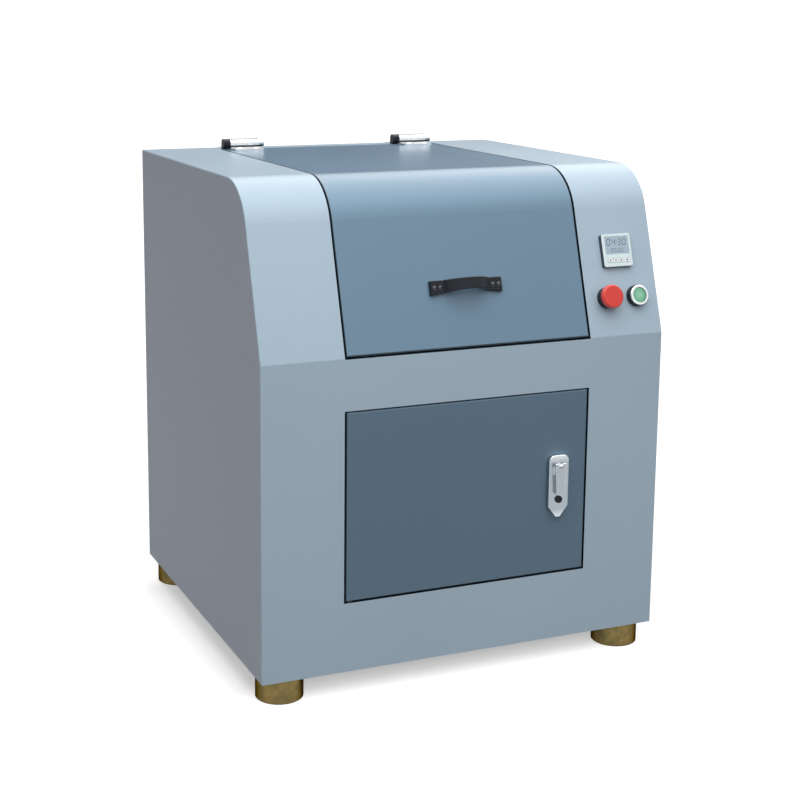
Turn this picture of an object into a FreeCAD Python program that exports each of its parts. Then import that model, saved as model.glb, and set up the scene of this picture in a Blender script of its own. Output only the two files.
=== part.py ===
import FreeCAD, Part
import math
import os

Vec = FreeCAD.Vector

# Analytical vibrating disc mill in a sound-proof floor cabinet.
# Millimetres. X is to the right, the front faces -Y, Z is up and the floor is Z = 0.

# ---------------------------------------------------------------- cabinet
cabinet_width = 620.0
cabinet_depth = 570.0
cabinet_height = 682.0          # sheet-steel body, without its feet
sheet = 2.0                     # thickness of the cover, panels, lid, door and chamber
kink_height = 446.0             # the front stands upright up to here, then leans back
slope_angle = 17.5              # lean of the control face from upright, degrees
kink_round = 4.0                # outer radius of the fold at the kink
bend_radius = 80.0              # outer radius of the bend from the control face to the top
cheek_width = 120.0             # control face beside the lid, and front beside the door
rear_strip = 32.0               # top strip behind the lid, which carries the lid hinges
edge_round = 1.5                # rounding of the cover's long outer edges
cover_fold = 10.0               # depth of the cover's edges folded in round the lid opening
seam = 2.5                      # open gap round the lid and round the door
edge_break = 1.2                # rounding of the lid's and the door's outer edges
overshoot = 5.0                 # how far a cutting tool runs past what it cuts

# ---------------------------------------------------------------- feet, base and frame
foot_height = 36.0
foot_radius = 34.0
foot_inset = 39.0               # foot centre from the cabinet's side, front and rear
foot_chamfer = 1.2
foot_bolt_radius = 6.0
foot_bolt_depth = 22.0          # thread engaged in the foot
foot_bolt_head = 11.0
foot_bolt_head_height = 8.0
base_thickness = 4.0
post_leg = 30.0                 # leg length of the corner angles
post_wall = 3.0
screw_clearance = 0.1           # radial, round a screw or a pin that doesn't turn
running_clearance = 0.05        # radial, round a shaft or a pin that turns
free_gap = 0.3                  # between faces of pieces that move past each other

# ---------------------------------------------------------------- rear panel
louvre_length = 90.0
louvre_depth = 6.0
louvre_wall = 1.0
louvre_pitch = 18.0
louvre_count = 9
louvre_columns = 2
louvre_column_offset = 95.0     # column centre from the middle of the panel
louvre_low = 120.0              # lowest louvre above the panel's lower edge
gland_side_gap = 63.0           # gland's axis from the inside of the right panel
gland_height = 60.0             # above the panel's lower edge
gland_radius = 12.5
gland_bore = 5.0
gland_nut_radius = 16.5
gland_nut_thickness = 7.0
gland_dome_radius = 13.0
gland_dome_length = 17.0
gland_inner_length = 14.0

# ---------------------------------------------------------------- grinding chamber
chamber_floor_height = 380.0    # underside of the chamber floor above the cabinet's bottom
chamber_side_gap = 12.0         # opening's edge to the chamber wall's outer face
chamber_front_gap = 14.0        # front of the cabinet to the chamber's front wall
chamber_rear_gap = 20.0         # hinge axis to the middle of the chamber's rear wall
chamber_rim_inset = 9.0         # wall's upper edge below the outer surface
seal_width = 6.0
seal_rise = 12.0                # lower edge of the seal above the kink
lid_touch = 0.4                 # seal and lid at rest
floor_hole_clearance = 12.0

# ---------------------------------------------------------------- lid
lid_fold = 6.0                  # depth of the lid's folded edge
liner_thickness = 18.0
liner_side_gap = 17.0           # lid edge to foam edge
liner_low_rise = 24.0           # foam's lower edge above the kink
liner_rear_gap = 6.0
handle_length = 110.0
handle_height = 21.0
handle_waist = 16.0             # height of the grip at its middle
handle_stand = 27.0
handle_foot = 20.0
handle_foot_thickness = 7.0
handle_grip = 6.5
handle_rise = 86.0              # handle's middle above the kink, along the slope
handle_round = 1.2
handle_screw_radius = 2.0
handle_screw_head = 3.2
handle_screw_head_height = 1.6
handle_screw_spacing = 9.0
handle_screw_edge = 5.5         # outer screw from the handle's end

# ---------------------------------------------------------------- lid hinges
hinge_side_gap = 37.5           # middle of each hinge from the lid's side edge
hinge_lift = 9.0                # axis above the top surface
barrel_radius = 7.5
barrel_length = 48.0
hinge_pin_radius = 3.4
end_block_length = 11.0
ear_length = 9.5
ear_radius = 5.8
knuckle_gap = 0.4
leaf_thickness = 2.0
lid_leaf_reach = 31.0           # leaf's front edge from the hinge axis
rail_leaf_reach = 28.0          # leaf's rear edge from the hinge axis
web_thickness = 2.6
hinge_screw_radius = 2.5
hinge_screw_head = 4.4
hinge_screw_head_height = 2.0
hinge_screw_spacing = 28.0
hinge_screw_edge = 8.0          # screw centre from the leaf's free edge

# ---------------------------------------------------------------- door
door_sill = 100.0               # lower edge of the door opening above the cabinet's bottom
door_opening_height = 273.0
door_depth = 12.0
door_frame_depth = 14.0         # edges folded in round the door opening
door_pin_radius = 3.0
door_pin_side = 7.0             # pin axis from the door's hinge edge
door_pin_depth = 5.0            # pin axis behind the door's front face
door_pin_overlap = 4.0          # pin past the door's wall
door_pin_head = 5.0
door_pin_head_height = 4.0

# ---------------------------------------------------------------- door lock
lock_side_gap = 48.0            # lock's middle from the door's free edge
lock_height = 234.0             # middle of the lock above the cabinet's bottom
lock_length = 92.0
lock_width = 32.0
lock_thickness = 9.0
lock_taper = 16.0               # height of the pointed lower end
lock_tip = 7.0
lock_corner = 9.0
lock_edge = 1.4
lock_boss_radius = 9.5
lock_boss_length = 8.0
lever_thickness = 5.5
lever_width = 17.0
lever_end_width = 13.0
lever_end = -11.5               # lever's lower end from the middle of the lock
lever_corner = 3.0              # rounding of the lever's lower corners
lever_pin_offset = 8.4          # lever's cross pin above the spindle axis
lever_pin_radius = 1.0
spindle_rise = 24.0             # spindle axis above the middle of the lock
spindle_radius = 5.9
spindle_disc_radius = 11.0
spindle_disc_thickness = 2.7
lug_half_width = 3.0
lug_half_height = 2.0
cam_setback = 17.0              # cam's front face behind the door's front face
cam_thickness = 3.0
cam_length = 60.0
cam_half_width = 9.0
cam_neck_radius = 4.0
cam_screw_radius = 7.0
cam_screw_height = 3.0
lock_button_radius = 5.5
lock_button_drop = 19.5         # button axis below the middle of the lock
lock_button_proud = 2.5
lock_button_travel = 2.5
lock_button_clearance = 0.2

# ---------------------------------------------------------------- timer
timer_side_gap = 62.5           # timer's middle from the cabinet's right side
timer_rise = 123.0              # timer's middle above the kink, along the slope
timer_face = 48.0
timer_bezel = 8.0
timer_body = 44.4
timer_body_depth = 70.0
timer_cutout = 45.0
timer_corner = 3.0
timer_edge = 1.0
window_width = 39.0
window_height = 26.0
window_rise = 7.5               # window's middle above the timer's middle
window_recess = 1.6
window_thickness = 1.1
key_width = 7.4
key_height = 6.0
key_pitch = 9.4
key_drop = 14.5                 # keys' middle below the timer's middle
key_length = 2.4
key_proud = 0.5
key_travel = 0.5
key_well = 3.4                  # depth of each key's well
key_count = 4

# ---------------------------------------------------------------- push buttons
button_rise = 55.5              # buttons' axis above the kink, along the slope
stop_side_gap = 86.0            # stop button's axis from the cabinet's right side
start_side_gap = 37.0           # start button's axis from the cabinet's right side
button_thread_radius = 11.0
button_thread_length = 28.0
button_hole_clearance = 0.2
collar_radius = 15.3
collar_height = 9.0
stem_radius = 7.7
stem_length = 18.0
stem_clearance = 0.3
stem_well = 23.0
stop_cap_radius = 17.2
stop_cap_thickness = 7.4
stop_cap_round = 3.0
stop_cap_gap = 4.3              # collar to the cap's underside
start_cap_radius = 10.6
start_cap_thickness = 4.6
start_cap_well = 7.0            # depth of the cap's well in the collar
ring_radius = 14.4
ring_height = 3.2
ring_bore_radius = 11.2
cap_break = 0.8
contact_width = 26.0
contact_height = 30.0
contact_depth = 32.0

# ---------------------------------------------------------------- electrics
plate_thickness = 3.0
plate_length = 200.0
plate_height = 160.0
plate_middle = 40.0             # plate's middle behind the cabinet's middle
plate_low = 60.0                # plate's lower edge above the cabinet's bottom
contactor_width = 45.0
contactor_height = 75.0
contactor_depth = 80.0
contactor_step = 18.0

# ---------------------------------------------------------------- vibrating table
deck_height = 254.0             # underside of the spring deck above the cabinet's bottom
deck_thickness = 6.0
deck_flange = 30.0
deck_half_depth = 190.0
deck_hole_radius = 102.0
spring_count = 8
spring_circle = 140.0
spring_length = 88.0
spring_wire = 5.0
spring_radius = 14.5
spring_turns = 6.0
table_radius = 165.0
table_thickness = 14.0
seat_radius = 120.0
seat_height = 40.0
seat_recess = 6.0
guide_radius = 5.0
guide_embed = 10.0
guide_hole_clearance = 1.2
guide_nut_radius = 9.0
guide_nut_height = 8.0
guide_tail = 6.0                # stud past its nut

# ---------------------------------------------------------------- vibration motor
motor_flange_radius = 104.0
motor_flange_thickness = 14.0
motor_radius = 88.0
motor_bore_radius = 61.0
motor_length = 252.0            # from the flange's top to the lower end
motor_end_wall = 18.0
motor_cap_wall = 32.0
fin_count = 20
fin_radius = 97.0
fin_thickness = 3.5
fin_margin = 26.0               # bare housing above and below the fins
rotor_radius = 60.0
rotor_end_gap = 12.0
shaft_radius = 12.0
shaft_tail = 46.0               # shaft below the motor's lower end
shaft_head_gap = 4.0            # shaft's upper end below the table
shaft_hole_clearance = 1.0      # radial, shaft in the motor's end walls
bearing_radius = 26.0
bearing_width = 14.0
weight_radius = 75.0
weight_thickness = 26.0
weight_gap = 9.0                # motor's lower end to the eccentric weight
weight_hub_radius = 24.0

# ---------------------------------------------------------------- grinding set
bowl_radius = 80.0
bowl_height = 90.0
bowl_wall = 10.0
bowl_floor = 12.0
bowl_round = 3.0
bowl_lid_thickness = 12.0
bowl_spigot = 6.0
bowl_fit = 0.3
mill_ring_radius = 55.0
mill_ring_bore = 40.0
mill_ring_height = 66.0
puck_radius = 27.0
puck_height = 64.0
mill_round = 2.0

# ---------------------------------------------------------------- clamp
post_offset = 100.0             # clamp post from the bowl's axis
clamp_post_radius = 9.0
clamp_neck_radius = 7.0
clamp_post_height = 110.0       # shoulder above the bowl seat
clamp_cap_radius = 12.0
clamp_cap_height = 10.0
clamp_cap_gap = 0.7
clamp_bar_thickness = 18.0
clamp_bar_half_width = 16.0
clamp_bar_end = 21.0            # bar's ends past the post axes
clamp_slot_clearance = 1.3
ear_inner = 8.4                 # inner face of each cam ear from the bar's middle
cam_ear_thickness = 5.0
cam_ear_half_length = 14.0
cam_ear_height = 26.0
cam_pin_height = 15.7           # cam pin above the bar's top face
cam_pin_radius = 4.0
clamp_cam_radius = 12.0
clamp_cam_offset = 3.0
clamp_cam_half_width = 8.0
clamp_cam_gap = 0.5             # cam to the plunger at rest
clamp_lever_length = 84.0
clamp_lever_half_width = 5.0
clamp_lever_low = 0.0           # lever's underside from the cam pin's axis
clamp_lever_thickness = 9.0
plunger_radius = 8.0
plunger_foot_radius = 20.0
plunger_foot_thickness = 6.5

# ---------------------------------------------------------------- worked out from the above
half_width = cabinet_width / 2
base_z = foot_height
top_z = base_z + cabinet_height
kink_z = base_z + kink_height
lean = math.radians(slope_angle)
lever_knuckle = lever_thickness / 2
lock_reach = lock_thickness + free_gap + lever_thickness
gland_reach = gland_nut_thickness + gland_dome_length
front_y = (lock_reach - gland_reach - cabinet_depth) / 2
rear_y = front_y + cabinet_depth
inner_half = half_width - sheet
gland_x = inner_half - gland_side_gap
timer_x = half_width - timer_side_gap
stop_x = half_width - stop_side_gap
start_x = half_width - start_side_gap

opening_half = half_width - cheek_width
opening_low = kink_z - seam / 2
opening_rear = rear_y - rear_strip
lid_half = opening_half - seam
lid_low = kink_z + seam / 2
lid_rear = opening_rear - seam
hinge_y = opening_rear - seam / 2
hinge_offset = lid_half - hinge_side_gap
hinge_z = top_z + hinge_lift

door_low = base_z + door_sill
door_high = door_low + door_opening_height
lock_x = lid_half - lock_side_gap
door_pin_x = -lid_half + door_pin_side
door_pin_y = front_y + door_pin_depth

floor_z = base_z + chamber_floor_height
floor_top = floor_z + sheet
wall_half = opening_half - chamber_side_gap
wall_front = front_y + chamber_front_gap
wall_rear = hinge_y - chamber_rear_gap + sheet / 2
seal_low = kink_z + seal_rise
seal_inset = sheet + lid_touch
liner_half = lid_half - liner_side_gap

mill_y = (wall_front + wall_rear) / 2
deck_z = base_z + deck_height
deck_top = deck_z + deck_thickness
table_z = deck_top + spring_length
seat_z = table_z + table_thickness
seat_top = seat_z + seat_height
bowl_z = seat_top - seat_recess
bowl_top = bowl_z + bowl_height
bowl_lid_top = bowl_top + bowl_lid_thickness
motor_low = table_z - motor_length
clamp_z = seat_top + clamp_post_height + free_gap
clamp_top = clamp_z + clamp_bar_thickness
cam_pin_z = clamp_top + cam_pin_height
cam_low = cam_pin_z - clamp_cam_offset - clamp_cam_radius


# ---------------------------------------------------------------- plain solids
def block(x0, x1, y0, y1, z0, z1):
    """Box between two corners."""
    return Part.makeBox(x1 - x0, y1 - y0, z1 - z0, Vec(x0, y0, z0))


def upright(radius, x, y, z0, z1):
    """Round bar along Z."""
    return Part.makeCylinder(radius, z1 - z0, Vec(x, y, z0), Vec(0, 0, 1))


def crosswise(radius, x0, x1, y, z):
    """Round bar along X."""
    return Part.makeCylinder(radius, x1 - x0, Vec(x0, y, z), Vec(1, 0, 0))


def lengthwise(radius, y0, y1, x, z):
    """Round bar along Y."""
    return Part.makeCylinder(radius, y1 - y0, Vec(x, y0, z), Vec(0, 1, 0))


def hexagon(radius, z0, z1, x, y):
    """Six-sided bar along Z, radius to its corners."""
    corners = [Vec(x + radius * math.cos(turn), y + radius * math.sin(turn), z0)
               for turn in (math.radians(60 * step) for step in range(6))]
    face = Part.Face(Part.makePolygon(corners + corners[:1]))
    return face.extrude(Vec(0, 0, z1 - z0))


def round_edges(shape, radius, chosen):
    """Round every edge whose middle the test picks."""
    return shape.makeFillet(radius, [edge for edge in shape.Edges if chosen(edge.CenterOfMass)])


def near(value, target):
    """True where two lengths are the same to a hundredth of a millimetre."""
    return abs(value - target) < 0.01


def one_body(shapes):
    """Join touching shapes into one clean solid."""
    return shapes[0].fuse(shapes[1:]).removeSplitter()


def group(shapes):
    """Several separate solids kept together."""
    return Part.makeCompound(shapes)


# ---------------------------------------------------------------- the cabinet's side outline
def slope_point(x, rise):
    """Point on the control face, at a distance up the slope from the kink."""
    return Vec(x, front_y + rise * math.sin(lean), kink_z + rise * math.cos(lean))


def side_block(inset, half=half_width):
    """Everything inside the side outline once its front and top are moved in by inset."""
    front = front_y + inset
    top = top_z - inset
    kink = Vec(-half, front, kink_z - inset * math.tan(lean / 2))
    up_slope = Vec(0, math.sin(lean), math.cos(lean))
    fold = max(kink_round - inset, 0)
    centre_z = top_z - bend_radius
    run = (bend_radius + (centre_z - kink_z) * math.sin(lean)) / math.cos(lean)
    centre = Vec(-half, front_y + run, centre_z)
    radius = bend_radius - inset
    turn = math.pi - lean
    half_turn = (turn + math.pi / 2) / 2
    bend_start = centre + Vec(0, math.cos(turn), math.sin(turn)) * radius
    bend_middle = centre + Vec(0, math.cos(half_turn), math.sin(half_turn)) * radius
    bend_end = centre + Vec(0, 0, radius)
    low_front = Vec(-half, front, base_z)
    top_rear = Vec(-half, rear_y, top)
    low_rear = Vec(-half, rear_y, base_z)
    if fold > 0:
        reach = fold * math.tan(lean / 2)
        fold_start = kink - Vec(0, 0, reach)
        fold_end = kink + up_slope * reach
        middle = Vec(0, -math.cos(lean / 2), math.sin(lean / 2)) * fold
        fold_middle = fold_start + Vec(0, fold, 0) + middle
        lower = [Part.makeLine(low_front, fold_start),
                 Part.Arc(fold_start, fold_middle, fold_end).toShape(),
                 Part.makeLine(fold_end, bend_start)]
    else:
        lower = [Part.makeLine(low_front, kink), Part.makeLine(kink, bend_start)]
    upper = [Part.Arc(bend_start, bend_middle, bend_end).toShape(),
             Part.makeLine(bend_end, top_rear),
             Part.makeLine(top_rear, low_rear),
             Part.makeLine(low_rear, low_front)]
    return Part.Face(Part.Wire(lower + upper)).extrude(Vec(2 * half, 0, 0))


def layer(outer, inner):
    """Skin of the cabinet between two insets, the whole width across."""
    return side_block(outer).cut(side_block(inner, half_width + overshoot))


def turned_onto(shape, point, tilt):
    """Set a shape built with X right, Y up and Z outwards onto a face, tilt degrees from lying flat."""
    place = FreeCAD.Placement(point, FreeCAD.Rotation(Vec(1, 0, 0), tilt))
    return shape.transformed(place.toMatrix(), True)


def on_slope(shape, x, rise):
    """Set a shape onto the control face."""
    return turned_onto(shape, slope_point(x, rise), 90 - slope_angle)


def on_front(shape, x, height):
    """Set a shape onto the upright front."""
    return turned_onto(shape, Vec(x, front_y, base_z + height), 90)


def stud(radius, z0, z1, x=0.0, y=0.0):
    """Round bar square to a face."""
    return upright(radius, x, y, z0, z1)


# ---------------------------------------------------------------- cabinet
def front_cover():
    """Bent cover: upright front, control face, bend and top in one sheet."""
    whole = round_edges(side_block(0), edge_round, on_long_edge)
    cover = whole.cut(side_block(sheet, half_width + overshoot))
    lid_hole = block(-opening_half, opening_half, front_y - overshoot, opening_rear,
                     opening_low, top_z + overshoot)
    door_hole = block(-opening_half, opening_half, front_y - overshoot, front_y + sheet + overshoot,
                      door_low, door_high)
    cover = cover.cut([lid_hole, door_hole])
    cover = one_body([cover] + lid_opening_folds() + door_opening_folds())
    return cover.cut(control_face_holes() + door_pin_holes() + leaf_screw_shanks(1, screw_clearance))


def on_long_edge(middle):
    """True for the cover's outer edges along both sides."""
    at_side = near(abs(middle.x), half_width)
    return at_side and not near(middle.z, base_z) and not near(middle.y, rear_y)


def lid_opening_folds():
    """Edges of the cover folded in round the lid opening."""
    fold = layer(sheet, cover_fold)
    outer = opening_half + sheet
    folds = []
    for side in (-1, 1):
        edges = sorted([side * opening_half, side * outer])
        folds.append(block(edges[0], edges[1], front_y, opening_rear + sheet,
                           opening_low - sheet, top_z).common(fold))
    folds.append(block(-outer, outer, front_y, front_y + 2 * cover_fold,
                       opening_low - sheet, opening_low).common(fold))
    folds.append(block(-outer, outer, opening_rear, opening_rear + sheet,
                       top_z - cover_fold, top_z).common(fold))
    return folds


def door_opening_folds():
    """Edges of the cover folded in round the door opening."""
    outer = opening_half + sheet
    back = front_y + door_frame_depth
    behind = front_y + sheet
    return [block(-outer, -opening_half, behind, back, door_low - sheet, door_high + sheet),
            block(opening_half, outer, behind, back, door_low - sheet, door_high + sheet),
            block(-outer, outer, behind, back, door_low - sheet, door_low),
            block(-outer, outer, behind, back, door_high, door_high + sheet)]


def control_face_holes():
    """Cut-outs for the timer and for both push buttons."""
    half = timer_cutout / 2
    depth = sheet + overshoot
    hole_radius = button_thread_radius + button_hole_clearance
    square = block(-half, half, -half, half, -depth, overshoot)
    return [on_slope(square, timer_x, timer_rise),
            on_slope(stud(hole_radius, -depth, overshoot), stop_x, button_rise),
            on_slope(stud(hole_radius, -depth, overshoot), start_x, button_rise)]


def door_pin_holes():
    """Holes in the folded edges for the door's two pins."""
    radius = door_pin_radius + screw_clearance
    return [upright(radius, door_pin_x, door_pin_y, door_low - sheet - overshoot, door_low + overshoot),
            upright(radius, door_pin_x, door_pin_y, door_high - overshoot, door_high + sheet + overshoot)]


def side_panel(side):
    """Flat panel that closes one side of the cabinet."""
    edges = sorted([side * inner_half, side * half_width])
    slab = block(edges[0], edges[1], front_y, rear_y, base_z, top_z)
    return slab.common(side_block(sheet))


def rear_panel():
    """Flat back with two columns of pressed louvres and a hole for the cable gland."""
    panel = block(-inner_half, inner_half, rear_y - sheet, rear_y, base_z, top_z - sheet)
    hoods = []
    slots = []
    for column in range(louvre_columns):
        middle = (2 * column - (louvre_columns - 1)) * louvre_column_offset
        for row in range(louvre_count):
            height = base_z + louvre_low + row * louvre_pitch
            hoods.append(louvre(middle, height, louvre_depth, louvre_length / 2))
            slots.append(louvre(middle, height, louvre_depth - louvre_wall,
                                louvre_length / 2 - louvre_wall))
    slots.append(lengthwise(gland_radius + screw_clearance, rear_y - sheet - overshoot,
                            rear_y + overshoot, gland_x, base_z + gland_height))
    return one_body([panel] + hoods).cut(slots)


def louvre(middle, height, radius, half):
    """Quarter-round hood that stands out of the back and opens downwards."""
    bar = crosswise(radius, middle - half, middle + half, rear_y - sheet, height)
    quarter = block(middle - half, middle + half, rear_y - sheet, rear_y + radius,
                    height, height + radius)
    return bar.common(quarter)


def base_plate():
    """Floor of the cabinet, which the feet are bolted to."""
    plate = block(-inner_half, inner_half, front_y + sheet, rear_y - sheet,
                  base_z, base_z + base_thickness)
    radius = foot_bolt_radius + screw_clearance
    return plate.cut([upright(radius, x, y, base_z - overshoot, base_z + base_thickness + overshoot)
                      for x, y in foot_places()])


def foot_places():
    """Centres of the four feet."""
    across = half_width - foot_inset
    return [(x, y) for x in (-across, across) for y in (front_y + foot_inset, rear_y - foot_inset)]


def cabinet_feet():
    """Four turned steel feet with a tapped hole in the top."""
    feet = []
    for x, y in foot_places():
        foot = upright(foot_radius, x, y, 0, foot_height)
        foot = foot.makeChamfer(foot_chamfer, [edge for edge in foot.Edges if edge.Closed])
        hole = upright(foot_bolt_radius + screw_clearance, x, y,
                       foot_height - foot_bolt_depth - overshoot, foot_height + overshoot)
        feet.append(foot.cut(hole))
    return group(feet)


def foot_bolts():
    """Hexagon bolts from inside the cabinet into the feet."""
    top = base_z + base_thickness
    return group([one_body([upright(foot_bolt_radius, x, y, base_z - foot_bolt_depth, top),
                            hexagon(foot_bolt_head, top, top + foot_bolt_head_height, x, y)])
                  for x, y in foot_places()])


def frame_posts():
    """Corner angles from the base plate to the chamber floor."""
    low = base_z + base_thickness
    posts = []
    for side in (-1, 1):
        for outer_y, inward in ((front_y + sheet, 1), (rear_y - sheet, -1)):
            outer_x = side * inner_half
            xs = sorted([outer_x, outer_x - side * post_leg])
            ys = sorted([outer_y, outer_y + inward * post_leg])
            cut_x = sorted([outer_x - side * post_wall, outer_x - side * (post_leg + overshoot)])
            cut_y = sorted([outer_y + inward * post_wall, outer_y + inward * (post_leg + overshoot)])
            bar = block(xs[0], xs[1], ys[0], ys[1], low, floor_z)
            posts.append(bar.cut(block(cut_x[0], cut_x[1], cut_y[0], cut_y[1],
                                       low - overshoot, floor_z + overshoot)))
    return group(posts)


# ---------------------------------------------------------------- grinding chamber
def chamber_floor():
    """Sheet between the chamber and the motor space, with a round hole for the bowl seat."""
    floor = block(-inner_half, inner_half, front_y + sheet, rear_y - sheet, floor_z, floor_top)
    hole = upright(seat_radius + floor_hole_clearance, 0, mill_y, floor_z - overshoot, floor_top + overshoot)
    return floor.cut(hole)


def chamber_walls():
    """Left, right, front and rear walls of the chamber."""
    inside = side_block(chamber_rim_inset)
    inner = wall_half - sheet
    left = block(-wall_half, -inner, wall_front, wall_rear, floor_top, top_z).common(inside)
    right = block(inner, wall_half, wall_front, wall_rear, floor_top, top_z).common(inside)
    front = block(-inner, inner, wall_front, wall_front + sheet, floor_top, seal_low)
    rear = block(-inner, inner, wall_rear - sheet, wall_rear, floor_top, top_z - chamber_rim_inset)
    return group([left, right, front, rear])


def lid_seal():
    """Rubber strip on the upper edges of the chamber walls."""
    strip = layer(seal_inset, chamber_rim_inset)
    middle = wall_half - sheet / 2
    outer = middle + seal_width / 2
    inner = middle - seal_width / 2
    rear = wall_rear - sheet / 2 + seal_width / 2
    pieces = [block(-outer, -inner, front_y, rear, seal_low, top_z).common(strip),
              block(inner, outer, front_y, rear, seal_low, top_z).common(strip),
              block(-outer, outer, rear - seal_width, rear, top_z - chamber_rim_inset, top_z).common(strip),
              block(-outer, outer, front_y, wall_front + sheet,
                    seal_low, seal_low + seal_width).common(side_block(seal_inset))]
    ring = one_body(pieces)
    walls = chamber_walls()
    return ring.cut(walls)


# ---------------------------------------------------------------- lid
def lid_block():
    """Outer form of the lid, filled."""
    body = block(-lid_half, lid_half, front_y - overshoot, lid_rear, lid_low, top_z + overshoot)
    return body.common(side_block(0))


def lid_shell():
    """Bent lid with its four edges folded in."""
    low_y = front_y + (lid_low - kink_z) * math.tan(lean)

    def on_rim(middle):
        at_side = near(abs(middle.x), lid_half) and not near(middle.z, lid_low)
        at_side = at_side and not near(middle.y, lid_rear)
        at_low = near(middle.x, 0) and near(middle.z, lid_low) and near(middle.y, low_y)
        at_rear = near(middle.x, 0) and near(middle.z, top_z) and near(middle.y, lid_rear)
        return at_side or at_low or at_rear

    outer = round_edges(lid_block(), edge_break, on_rim)
    hollow = block(-lid_half + sheet, lid_half - sheet, front_y, lid_rear - sheet,
                   lid_low + sheet, top_z).common(side_block(sheet))
    shell = outer.cut([side_block(lid_fold, half_width + overshoot), hollow])
    return shell.cut(handle_screw_shanks(screw_clearance) + leaf_screw_shanks(-1, screw_clearance))


def lid_liner():
    """Sound-absorbing foam under the lid."""
    body = block(-liner_half, liner_half, front_y, wall_rear - sheet - liner_rear_gap,
                 kink_z + liner_low_rise, top_z)
    return body.common(layer(sheet, sheet + liner_thickness))


def lid_handle():
    """Bow handle: two feet and a grip that arches between them."""
    end = handle_length / 2
    spring = end - handle_foot
    inside = spring - handle_grip / 2
    side_view = Part.Wire([
        Part.makeLine(Vec(-end, 0, 0), Vec(-end, 0, handle_foot_thickness)),
        Part.makeLine(Vec(-end, 0, handle_foot_thickness), Vec(-spring, 0, handle_foot_thickness)),
        Part.Arc(Vec(-spring, 0, handle_foot_thickness), Vec(0, 0, handle_stand),
                 Vec(spring, 0, handle_foot_thickness)).toShape(),
        Part.makeLine(Vec(spring, 0, handle_foot_thickness), Vec(end, 0, handle_foot_thickness)),
        Part.makeLine(Vec(end, 0, handle_foot_thickness), Vec(end, 0, 0)),
        Part.makeLine(Vec(end, 0, 0), Vec(inside, 0, 0)),
        Part.Arc(Vec(inside, 0, 0), Vec(0, 0, handle_stand - handle_grip), Vec(-inside, 0, 0)).toShape(),
        Part.makeLine(Vec(-inside, 0, 0), Vec(-end, 0, 0))])
    half = handle_height / 2
    waist = handle_height - handle_waist
    front_view = Part.Wire([
        Part.makeLine(Vec(-end, half, 0), Vec(end, half, 0)),
        Part.makeLine(Vec(end, half, 0), Vec(end, -half, 0)),
        Part.Arc(Vec(end, -half, 0), Vec(0, waist - half, 0), Vec(-end, -half, 0)).toShape(),
        Part.makeLine(Vec(-end, -half, 0), Vec(-end, half, 0))])
    bow = Part.Face(side_view).extrude(Vec(0, handle_height, 0))
    bow.translate(Vec(0, -half, 0))
    outline = Part.Face(front_view).extrude(Vec(0, 0, handle_stand))
    handle = bow.common(outline)
    handle = round_edges(handle, handle_round, lambda middle: middle.z > handle_round)
    return on_slope(handle, 0, handle_rise).cut(handle_screw_shanks(screw_clearance))


def handle_screw_places():
    """Screw centres along the handle."""
    outer = handle_length / 2 - handle_screw_edge
    inner = outer - handle_screw_spacing
    return [-outer, -inner, inner, outer]


def handle_screw_shanks(clearance):
    """Shanks of the handle screws, through the handle's feet and the lid."""
    radius = handle_screw_radius + clearance
    return [on_slope(stud(radius, -sheet, handle_foot_thickness, x), 0, handle_rise)
            for x in handle_screw_places()]


def handle_screws():
    """Four bright screws in the handle's feet."""
    top = handle_foot_thickness + handle_screw_head_height
    screws = []
    for x in handle_screw_places():
        head = stud(handle_screw_head, handle_foot_thickness, top, x)
        screws.append(on_slope(one_body([head, stud(handle_screw_radius, -sheet, handle_foot_thickness, x)]),
                               0, handle_rise))
    return group(screws)


# ---------------------------------------------------------------- lid hinges
def hinge_places():
    """Left end of each hinge's barrel: the black block is on its left and the ear on its right."""
    overall = end_block_length + barrel_length + ear_length + 2 * knuckle_gap
    return [side * hinge_offset - overall / 2 + end_block_length + knuckle_gap for side in (-1, 1)]


def leaf_screw_places(left):
    """Screw centres across a hinge leaf."""
    middle = left + barrel_length / 2
    return [middle - hinge_screw_spacing / 2, middle + hinge_screw_spacing / 2]


def leaf_screw_line(side):
    """Distance of the leaf's screws from the front; side is -1 on the lid and 1 on the rear strip."""
    reach = lid_leaf_reach if side < 0 else rail_leaf_reach
    return hinge_y + side * (reach - hinge_screw_edge)


def leaf_screw_shanks(side, clearance):
    """Shanks of the hinge screws through leaf and sheet."""
    radius = hinge_screw_radius + clearance
    return [upright(radius, x, leaf_screw_line(side), top_z - sheet, top_z + leaf_thickness)
            for left in hinge_places() for x in leaf_screw_places(left)]


def leaf_screws(side):
    """Round-headed hinge screws."""
    seat = top_z + leaf_thickness
    screws = []
    for left in hinge_places():
        for x in leaf_screw_places(left):
            y = leaf_screw_line(side)
            head = upright(hinge_screw_head, x, y, seat, seat + hinge_screw_head_height)
            screws.append(one_body([head, upright(hinge_screw_radius, x, y, top_z - sheet, seat)]))
    return group(screws)


def lid_hinge_leaves():
    """Leaf on the lid with the hinge's barrel."""
    leaves = []
    for left in hinge_places():
        right = left + barrel_length
        barrel = crosswise(barrel_radius, left, right, hinge_y, hinge_z)
        web = block(left, right, hinge_y - barrel_radius, hinge_y - barrel_radius + web_thickness,
                    top_z, hinge_z)
        plate = block(left, right, hinge_y - lid_leaf_reach, hinge_y - barrel_radius + web_thickness,
                      top_z, top_z + leaf_thickness)
        leaf = one_body([barrel, web, plate])
        bore = crosswise(hinge_pin_radius + running_clearance, left - overshoot, right + overshoot,
                         hinge_y, hinge_z)
        leaves.append(leaf.cut([bore] + leaf_screw_shanks(-1, screw_clearance)))
    return group(leaves)


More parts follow.
